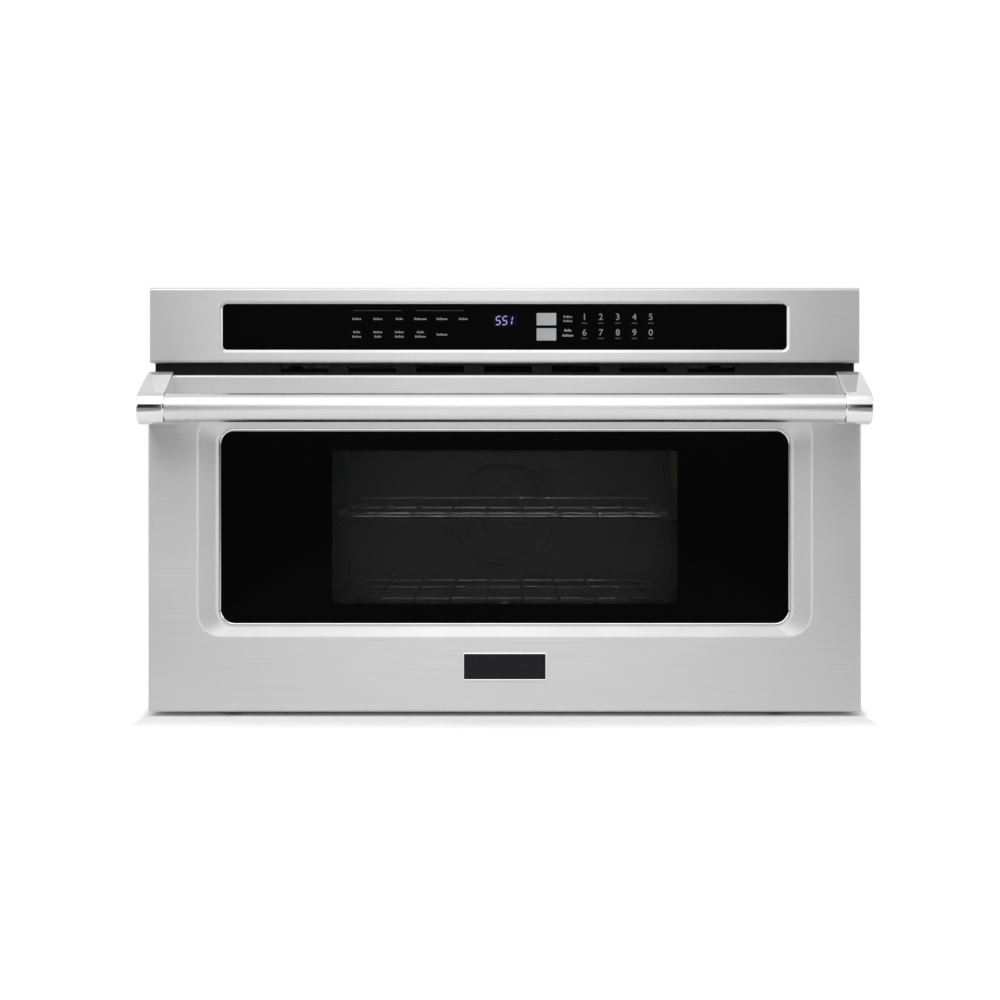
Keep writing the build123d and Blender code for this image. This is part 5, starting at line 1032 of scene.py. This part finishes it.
@dataclass(frozen=True)
class Outline:
    """An upright rectangle with round corners, in millimetres from the middle and the floor."""

    half_width: float
    low: float
    high: float
    radius: float
    least_radius = 0.3
    fold_step = 15

    def grown(self, by: float) -> "Outline":
        """The same outline, grown all round."""
        radius = max(self.radius + by, self.least_radius)
        return Outline(self.half_width + by, self.low - by, self.high + by, radius)

    def toward(self, other: "Outline", share: float) -> "Outline":
        """An outline part of the way to another one, 0 for this one and 1 for the other."""
        return Outline(*(here + (there - here) * share for here, there in zip(astuple(self), astuple(other))))

    def cut(self, bench: Bench, depth: float) -> int:
        """Add the outline to a piece as a loop, some millimetres behind the door's face.

        Args:
            bench: The bench with the piece.
            depth: How far behind.

        Returns:
            The loop's number.
        """
        middle = Vector((0.0, behind(depth), mm((self.low + self.high) / 2)))
        return bench.ring(middle, mm(2 * self.half_width), mm(self.high - self.low), mm(self.radius))

    def rings(self, bench: Bench, *profile: Span) -> list[int]:
        """Add the outline once for each step of a profile: how far it is grown, and its depth."""
        return [self.grown(grow).cut(bench, depth) for grow, depth in profile]

    def fold(self, bench: Bench, face: float, rear: float, bend: float, side: float) -> list[int]:
        """Add the loops of a sheet that is folded back along the outline, from its rear rim to its face.

        Args:
            bench: The bench with the piece.
            face: The face's depth.
            rear: The rear rim's depth.
            bend: The radius of the upper and lower edge.
            side: How far the left and right edge are rounded.

        Returns:
            The loops' numbers.
        """
        loops = [self.cut(bench, rear)]
        for degrees in range(0, 91, self.fold_step):
            inward = 1 - math.cos(math.radians(degrees))
            low, high = self.low + bend * inward, self.high - bend * inward
            edge = Outline(self.half_width - side * inward, low, high, self.radius)
            loops.append(edge.cut(bench, face + bend * (1 - math.sin(math.radians(degrees)))))
        return loops


def shoulder(share: float, soft: float) -> float:
    """Depth of a pressed slope that starts and ends in a soft curve.

    Args:
        share: How far along the slope, 0 to 1.
        soft: The share of it that each curve takes.

    Returns:
        The depth there, 0 to 1.
    """
    rise = 1.0 / (1.0 - soft)
    if share < soft:
        return rise * share * share / (2 * soft)
    if share > 1 - soft:
        return 1 - rise * (1 - share) ** 2 / (2 * soft)
    return rise * (share - soft / 2)


# The sub-assemblies, in millimetres from the middle and the floor


@dataclass
class ControlPanel:
    """The fascia, its black glass and what is printed and lit on it."""

    fascia: Outline = Outline(377.8, 375.0, 455.0, 0.5)
    glass: Outline = Outline(300.2, 389.2, 437.8, 4.5)
    face: float = 10.0
    rear: float = 44.0
    sheet: float = 1.0
    bend: float = 3.0
    side_edge: float = 0.7
    lip_width: float = 3.0
    lip_depth: float = 1.6
    lip_under: float = 0.3
    glass_gap: float = 0.2
    glass_thickness: float = 4.0
    print_rise: float = 0.08
    print_root: float = 0.02
    columns: tuple[float, ...] = (-157.6, -135.1, -112.2, -89.8, -66.8, -44.1)
    upper_words: tuple[int, ...] = (5, 5, 4, 7, 6, 5)
    upper_row: float = 422.0
    lower_words: tuple[tuple[int, ...], ...] = ((4, 5), (5, 4), (5, 5), (4, 6), (6,))
    lower_rows: tuple[float, ...] = (408.0, 403.2)
    single_row: tuple[float, ...] = (405.4,)
    side_column: float = 67.2
    power_words: tuple[tuple[float, int], ...] = ((424.3, 5), (419.8, 5))
    start_words: tuple[tuple[float, int], ...] = ((409.8, 4), (404.4, 6))
    start_height: float = 2.6
    stroke_pitch: float = 1.95
    stroke_width: float = 1.35
    stroke_height: float = 2.3
    short_stroke: float = 0.74
    rules: tuple[Span, ...] = ((-161.0, -109.5), (-94.8, -43.2))
    rule_row: float = 430.8
    rule_width: float = 0.5
    digit_columns: tuple[float, ...] = (84.9, 102.4, 120.4, 138.1, 155.5)
    digit_rows: Span = (423.8, 407.2)
    digit_size: float = 9.6
    digit_half: float = 0.04
    digit_weight: float = 0.08
    caption_rows: Span = (417.4, 401.2)
    caption_size: Span = (6.0, 1.2)
    pad_column: float = 44.4
    pad_rows: Span = (421.7, 405.5)
    pad_size: Span = (20.8, 13.0)
    pad_corner: float = 0.4
    display_row: float = 420.2
    display_size: Span = (25.0, 13.5)
    segment_lean: float = 0.16
    segment_half: float = 4.4
    segment_width: float = 4.6
    segment_radius: float = 0.55
    segment_rise: float = 0.1
    segment_gap: float = 0.5
    segment_sides: int = 8
    segment_round: float = 0.3
    lit: tuple[tuple[float, str], ...] = ((-9.2, "acdfg"), (-2.2, "acdfg"), (3.2, "bc"))

    def build(self) -> None:
        """Build every piece of the panel."""
        self.build_fascia()
        self.build_glass()
        self.build_prints()
        self.build_digits()
        self.build_pads()
        self.build_display()

    def build_fascia(self) -> None:
        """Fold the fascia: round upper and lower edges, and a bevelled opening for the glass."""
        bench = Bench("fascia")
        lip, gap = self.lip_width, self.glass_gap
        seat = self.face + self.lip_depth
        under = self.face + self.sheet + self.lip_under
        loops = self.fascia.fold(bench, self.face, self.rear, self.bend, self.side_edge)
        loops += self.glass.rings(bench, (lip + 0.25, self.face), (lip - 0.15, self.face + 0.1))
        loops += self.glass.rings(bench, (gap + 0.1, seat - 0.1), (gap, seat + 0.15))
        loops += self.glass.rings(bench, (gap, seat + self.sheet), (lip, under))
        loops += self.fascia.rings(bench, (-self.sheet, under), (-self.sheet, self.rear))
        bench.join(loops, closed=True)
        bench.finish(Metal.FASCIA, OVEN, "control_fascia")

    def build_glass(self) -> None:
        """Grind the control glass: a pane with a fine polished edge."""
        bench = Bench("panel_glass")
        front = self.face + self.lip_depth
        profile = ((0.0, self.glass_thickness), (0.0, 0.4), (-0.12, 0.12), (-0.4, 0.0))
        bench.fill(self.glass.rings(bench, *((grow, front + depth) for grow, depth in profile)))
        bench.finish(Coat.BLACK_GLASS, OVEN, "control_glass")

    def front(self) -> float:
        """Y of the control glass's face."""
        return behind(self.face + self.lip_depth)

    def mark(self, bench: Bench, x: float, z: float, width: float, height: float) -> None:
        """Add one printed mark to the glass.

        Args:
            bench: The bench with the print.
            x: Its middle.
            z: Its middle's height.
            width: Its width.
            height: Its height.
        """
        low = (mm(x - width / 2), self.front() - mm(self.print_rise), mm(z - height / 2))
        high = (mm(x + width / 2), self.front() + mm(self.print_root), mm(z + height / 2))
        bench.block(low, high)

    def words(self, bench: Bench, places: Sequence[tuple[float, float, int]], height: float) -> None:
        """Add generic labels, each a row of short strokes.

        Args:
            bench: The bench with the print.
            places: Each label's middle, its middle's height and its number of strokes.
            height: The tallest strokes' height.
        """
        for x, z, strokes in places:
            start = x - self.stroke_pitch * (strokes - 1) / 2
            for stroke in range(strokes):
                tall = height if stroke in (0, 2) else height * self.short_stroke
                middle = start + stroke * self.stroke_pitch
                self.mark(bench, middle, z - (height - tall) / 2, self.stroke_width, tall)

    def build_prints(self) -> None:
        """Print the labels, the rules over the two groups with the captions, and the start key's label."""
        bench = Bench("panel_labels")
        places = [(x, self.upper_row, strokes) for x, strokes in zip(self.columns, self.upper_words)]
        for x, words in zip(self.columns, self.lower_words):
            rows = self.lower_rows if len(words) > 1 else self.single_row
            places += [(x, z, strokes) for z, strokes in zip(rows, words)]
        places += [(self.side_column, z, strokes) for z, strokes in self.power_words]
        self.words(bench, places, self.stroke_height)
        bench.finish(Coat.PRINT, OVEN)
        bench = Bench("panel_rules")
        for left, right in self.rules:
            self.mark(bench, (left + right) / 2, self.rule_row, right - left, self.rule_width)
        for z in self.caption_rows:
            for x in self.digit_columns:
                self.mark(bench, x, z, *self.caption_size)
        bench.finish(Coat.FAINT_PRINT, OVEN)
        bench = Bench("panel_start_label")
        self.words(bench, [(self.side_column, *word) for word in self.start_words], self.start_height)
        bench.finish(Coat.BRIGHT_PRINT, OVEN)

    def build_digits(self) -> None:
        """Print the ten digits of the keypad, in two rows."""
        for index, digit in enumerate("1234567890"):
            row, column = divmod(index, len(self.digit_columns))
            bpy.ops.object.select_all(action="DESELECT")
            bpy.ops.object.text_add()
            text = bpy.context.object
            text.name = text.data.name = f"digit_{digit}"
            text.data.body = digit
            text.data.size = mm(self.digit_size)
            text.data.align_x = text.data.align_y = "CENTER"
            text.data.extrude = mm(self.digit_half)
            text.data.offset = mm(self.digit_weight)
            text.data.resolution_u = 4
            bpy.ops.object.convert(target="MESH")
            text = bpy.context.object
            text.rotation_euler = UPRIGHT
            depth = self.front() - mm(self.digit_half)
            text.location = (mm(self.digit_columns[column]), depth, mm(self.digit_rows[row]))
            bpy.ops.object.transform_apply(location=True, rotation=True, scale=True)
            Bench.of(text).finish(Coat.PRINT, OVEN)

    def build_pads(self) -> None:
        """Add the two pale touch pads, with round corners."""
        bench = Bench("touch_pads")
        for z in self.pad_rows:
            self.mark(bench, self.pad_column, z, *self.pad_size)
        through = mm((self.print_rise + self.print_root) / 2)
        bench.pick_where("EDGE", lambda edge: abs(edge.verts[0].co.y - edge.verts[1].co.y) > through)
        bench.ease(mm(self.pad_corner), 2)
        bench.finish(Coat.PAD, OVEN)

    def build_display(self) -> None:
        """Light the display: three leaning seven-segment digits on a window whose faint violet tint is a painted glow.
        """
        bench = Bench("display_window")
        self.mark(bench, 0.0, self.display_row, *self.display_size)
        bench.finish(Coat.DISPLAY, OVEN)
        bench = Bench("display_digits")
        spots = {
            "a": ((0, 1), (1, 1)), "b": ((1, 1), (1, 0)), "c": ((1, 0), (1, -1)),
            "d": ((0, -1), (1, -1)), "f": ((0, 1), (0, 0)), "g": ((0, 0), (1, 0)),
        }
        y = self.front() - mm(self.segment_rise)
        for start, names in self.lit:
            for name in names:
                ends = []
                for across, up in spots[name]:
                    x = start + across * self.segment_width + up * self.segment_half * self.segment_lean
                    ends.append(Vector((mm(x), y, mm(self.display_row + up * self.segment_half))))
                run = (ends[1] - ends[0]).normalized() * mm(self.segment_gap)
                bench.rod(ends[0] + run, ends[1] - run, mm(self.segment_radius), self.segment_sides)
        bench.ease_ends(mm(self.segment_round), self.segment_sides)
        bench.finish(Coat.LIT, OVEN)


@dataclass
class Door:
    """The door's skin with its dish, the bezel, the printed glass and the blank name plate."""

    skin: Outline = Outline(377.8, 5.0, 362.0, 0.5)
    dish_rim: Outline = Outline(327.0, 83.4, 327.0, 27.0)
    dish_floor: Outline = Outline(304.0, 96.0, 305.9, 17.6)
    glass: Outline = Outline(300.4, 99.6, 302.3, 14.0)
    plate: Outline = Outline(44.6, 38.4, 68.0, 1.2)
    dish_depth: float = 4.0
    dish_soft: float = 0.16
    dish_steps: tuple[float, ...] = (0.0, 0.04, 0.08, 0.12, 0.16, 0.35, 0.6, 0.84, 0.88, 0.92, 0.96, 1.0)
    rear: float = 31.0
    sheet: float = 1.0
    sheet_under: float = 0.3
    bend: float = 3.0
    side_edge: float = 1.8
    hole_gap: float = 2.6
    glass_front: float = 5.0
    glass_rear: float = 9.0
    arm_x: float = 290.0
    arm_notch: float = 7.0
    notch_front: float = 12.0
    notch_past: float = 2.0

    def build(self) -> None:
        """Build every piece of the door's front."""
        self.build_skin()
        self.build_bezel()
        self.build_glass()
        self.build_name_plate()

    def build_skin(self) -> None:
        """Fold the skin, press the dish into it, and notch its lower flange for the two hinge arms."""
        bench = Bench("door_face")
        dish, sheet, gap = self.dish_depth, self.sheet, self.hole_gap
        under = sheet + self.sheet_under
        loops = self.skin.fold(bench, 0.0, self.rear, self.bend, self.side_edge)
        for share in self.dish_steps:
            slope = self.dish_rim.toward(self.dish_floor, share)
            loops.append(slope.cut(bench, dish * shoulder(share, self.dish_soft)))
        loops += self.glass.rings(bench, (gap + 0.3, dish), (gap, dish + 0.3), (gap, dish + sheet))
        loops += [self.dish_floor.cut(bench, dish + sheet), self.dish_rim.cut(bench, under)]
        loops += self.skin.rings(bench, (-sheet, under), (-sheet, self.rear))
        bench.join(loops, closed=True)
        for x in (-self.arm_x, self.arm_x):
            low = (mm(x - self.arm_notch), behind(self.notch_front), mm(self.skin.low - self.notch_past))
            rear = behind(self.rear + self.notch_past)
            bench.carve(low, (mm(x + self.arm_notch), rear, mm(self.skin.low + 2 * sheet)))
        bench.finish(Metal.DOOR, DOOR, "door_skin")

    def build_bezel(self) -> None:
        """Roll the bezel: a polished rim that turns in to the glass."""
        bench = Bench("bezel")
        profile = (
            (2.4, 10.6), (2.4, 3.9), (2.2, 3.45), (1.8, 3.2), (1.4, 3.3), (0.9, 3.8), (0.5, 4.4), (0.2, 5.0),
            (0.2, 9.0), (-8.0, 9.0), (-8.0, 10.6),
        )
        bench.join(self.glass.rings(bench, *profile), closed=True)
        bench.finish(Metal.CHROME, DOOR, "window_bezel")

    def build_glass(self) -> None:
        """Cut the outer glass, with a small ground edge."""
        bench = Bench("window_glass")
        profile = ((0.0, 0.6), (-0.15, 0.2), (-0.6, 0.0))
        ground = ((grow, self.glass_front + depth) for grow, depth in profile)
        bench.fill(self.glass.rings(bench, (0.0, self.glass_rear), *ground))
        bench.finish(Coat.WINDOW, DOOR, "door_glass")

    def build_name_plate(self) -> None:
        """Make the name plate, left blank: a bright rim round a dark field."""
        bench = Bench("name_plate_rim")
        profile = (
            (0.0, 0.0), (0.0, -1.2), (-0.2, -1.6), (-0.6, -1.8), (-1.1, -1.8), (-1.4, -1.6), (-1.5, -1.2),
            (-1.5, 0.0),
        )
        bench.join(self.plate.rings(bench, *profile), closed=True)
        bench.finish(Metal.CHROME, DOOR)
        bench = Bench("name_plate_field")
        bench.fill(self.plate.rings(bench, (-1.4, 0.0), (-1.4, -1.15), (-1.65, -1.3)))
        bench.finish(Coat.PLATE, DOOR)


@dataclass
class Handle:
    """The tube and the two cast brackets that hold it."""

    half_width: float = 377.8
    bracket_width: float = 28.0
    height: float = 327.0
    standoff: float = 55.5
    nose_radius: float = 17.5
    base_low: float = 309.5
    base_high: float = 365.5
    tube_radius: float = 15.0
    tube_wall: float = 1.6
    tube_overlap: float = 0.6
    edge: float = 1.8
    nose_steps: int = 32

    def build(self) -> None:
        """Build the tube and both brackets."""
        self.build_tube()
        self.build_brackets()

    def build_tube(self) -> None:
        """Turn the tube, whose ends lie inside the brackets."""
        bench = Bench("grip_tube")
        reach = mm(self.half_width - self.bracket_width + self.tube_overlap)
        centre = Vector((0.0, behind(-self.standoff), mm(self.height)))
        rim = centre + Vector((0.0, 0.0, mm(self.tube_radius)))
        wall = rim - Vector((0.0, 0.0, mm(self.tube_wall)))
        line = [wall - Vector((reach, 0, 0))]
        line += [rim + Vector((reach * quarter / 4, 0, 0)) for quarter in range(-4, 5)]
        line += [wall + Vector((reach, 0, 0)), wall - Vector((reach, 0, 0))]
        bench.turn(line, centre, (1.0, 0.0, 0.0))
        bench.finish(Metal.TUBE, DOOR, "handle_tube")

    def side(self, x: float) -> list[Vector]:
        """Corners of a bracket's side: a straight foot, a slope to the round nose and a level underside.

        Args:
            x: Where the side is.

        Returns:
            The corners in order.
        """
        rise = math.atan2(self.base_high - self.height, self.standoff)
        far = math.hypot(self.base_high - self.height, self.standoff)
        tangent = math.radians(90) + rise - math.asin(self.nose_radius / far)
        corners = [(0.0, self.base_low), (0.0, self.base_high)]
        for step in range(self.nose_steps + 1):
            angle = tangent + (math.radians(270) - tangent) * step / self.nose_steps
            out = -self.standoff + self.nose_radius * math.cos(angle)
            corners.append((out, self.height + self.nose_radius * math.sin(angle)))
        return [Vector((mm(x), behind(depth), mm(z))) for depth, z in corners]

    def build_brackets(self) -> None:
        """Cast the left bracket, ease its cheeks' rims, and mirror it for the right."""
        left = Bench("bracket_left")
        left.plate(self.side(-self.half_width), Vector((mm(self.bracket_width), 0.0, 0.0)))
        left.pick_where("EDGE", self.is_cheek_rim)
        left.ease(mm(self.edge))
        right = left.twin("bracket_right")
        right.finish(Metal.CHROME, DOOR, "handle_bracket_right", angle=25.0)
        left.open()
        left.finish(Metal.CHROME, DOOR, "handle_bracket_left", angle=25.0)

    def is_cheek_rim(self, edge: bmesh.types.BMEdge) -> bool:
        """Whether an edge runs round a cheek, and not along the foot on the door."""
        first, second = (point.co for point in edge.verts)
        return abs(first.x - second.x) < mm(0.01) and min(first.y, second.y) < behind(-0.01)


@dataclass
class WireRack:
    """A rack of plated wires on cross bars."""

    name: str
    body: str
    bar_height: float
    bars_below: tuple[float, ...]
    bars_above: tuple[float, ...] = ()
    stub: float = 0.0
    wires: int = 10
    pitch: float = 40.0
    wire_radius: float = 2.0
    bar_radius: float = 2.25
    bar_half: float = 181.3
    front: float = 49.0
    rear: float = 442.0
    weld: float = 0.3
    end_round: float = 0.6

    def build(self) -> None:
        """Lay the wires over the bars and round every end."""
        bench = Bench(f"{self.name}_wires")
        rise = self.bar_radius + self.wire_radius - self.weld
        left, z = mm(-(self.wires - 1) / 2 * self.pitch), mm(self.bar_height + rise)
        bench.rod((left, behind(self.front), z), (left, behind(self.rear), z), mm(self.wire_radius))
        bench.ease_ends(mm(self.end_round))
        if self.stub:
            y = behind(self.rear - self.wire_radius)
            bench.rod((left, y, z), (left, y, z + mm(self.stub)), mm(self.wire_radius))
        bpy.ops.mesh.select_all(action="SELECT")
        bench.repeat(self.wires - 1, Vector((mm(self.pitch), 0.0, 0.0)))
        for height, depths in ((0.0, self.bars_below), (2 * rise, self.bars_above)):
            for depth in depths:
                y, z = behind(depth), mm(self.bar_height + height)
                bench.rod((-mm(self.bar_half), y, z), (mm(self.bar_half), y, z), mm(self.bar_radius))
                bench.ease_ends(mm(self.end_round), newest=True)
        bench.finish(Metal.RACK, self.body, self.name)


@dataclass
class Cavity:
    """What is seen inside the oven: the racks, the turntable and the fan cover."""

    turntable_depth: float = 245.0
    turntable_under: float = 93.6
    turntable_radius: float = 172.5
    cover_depth: float = 455.0
    cover_height: float = 194.0
    cover_proud: float = 7.0

    def build(self) -> None:
        """Build every piece in the cavity that has a new form."""
        WireRack("upper_rack", "upper_rack_body", 208.6, (52.0, 150.0, 320.0), (436.0,)).build()
        WireRack("lower_rack", "lower_rack_body", 112.2, (52.0, 150.0, 320.0, 430.0), stub=4.0).build()
        self.build_turntable()
        self.build_fan_cover()

    def build_turntable(self) -> None:
        """Press the glass tray: a flat floor with a foot ring, a rounded bend and a raised rim."""
        bench = Bench("glass_tray")
        edge = self.turntable_radius
        profile = (
            (0.0, 3.2), (16.0, 3.2), (17.5, 0.0), (edge - 14.0, 0.0), (edge - 8.0, 5.2), (edge - 1.0, 13.4),
            (edge, 14.2), (edge - 1.0, 14.8), (edge - 3.4, 14.6), (edge - 4.4, 13.6), (edge - 10.6, 6.6),
            (edge - 14.0, 4.6), (edge - 18.0, 4.0), (60.0, 4.0), (58.0, 4.4), (56.0, 4.0), (0.0, 4.0),
        )
        y = behind(self.turntable_depth)
        line = [(mm(radius), y, mm(self.turntable_under + rise)) for radius, rise in profile]
        bench.turn(line, Vector((0.0, y, 0.0)), (0.0, 0.0, 1.0))
        bench.finish(Coat.TURNTABLE, "turntable_assembly", "turntable", angle=50.0)

    def build_fan_cover(self) -> None:
        """Press the fan cover: a dished disc with raised rings."""
        bench = Bench("fan_grille")
        face = (
            (68.0, 0.0), (66.5, 3.5), (64.0, 6.0), (61.0, 7.0), (56.0, 7.0), (54.6, 5.8), (52.4, 5.8),
            (51.0, 7.0), (36.0, 7.0), (34.6, 5.6), (32.4, 5.6), (31.0, 7.0), (23.5, 7.0), (21.0, 4.4),
            (17.0, 4.0), (9.0, 4.0), (7.5, 5.2), (0.0, 5.4),
        )
        back = (
            (0.0, 4.4), (7.0, 4.2), (9.0, 3.0), (17.0, 3.0), (21.5, 3.2), (24.5, 6.0), (60.0, 6.0),
            (66.0, 1.5), (67.0, 0.0),
        )
        profile = face[::-1] + back[::-1]
        line = [(0.0, behind(self.cover_depth - out), mm(self.cover_height + r)) for r, out in profile]
        centre = Vector((0.0, behind(self.cover_depth - self.cover_proud), mm(self.cover_height)))
        bench.turn(line, centre, (0.0, 1.0, 0.0))
        bench.finish(Coat.CAVITY, OVEN, "fan_cover", angle=30.0)


def main() -> None:
    """Build the oven's looks in order."""
    logging.basicConfig(level=logging.INFO, format="%(message)s")
    Studio().build()
    dress_nodes()
    log.info("%d nodes dressed", len(frame["nodes"]))
    ControlPanel().build()
    Door().build()
    Handle().build()
    Cavity().build()


if __name__ == "__main__":
    main()
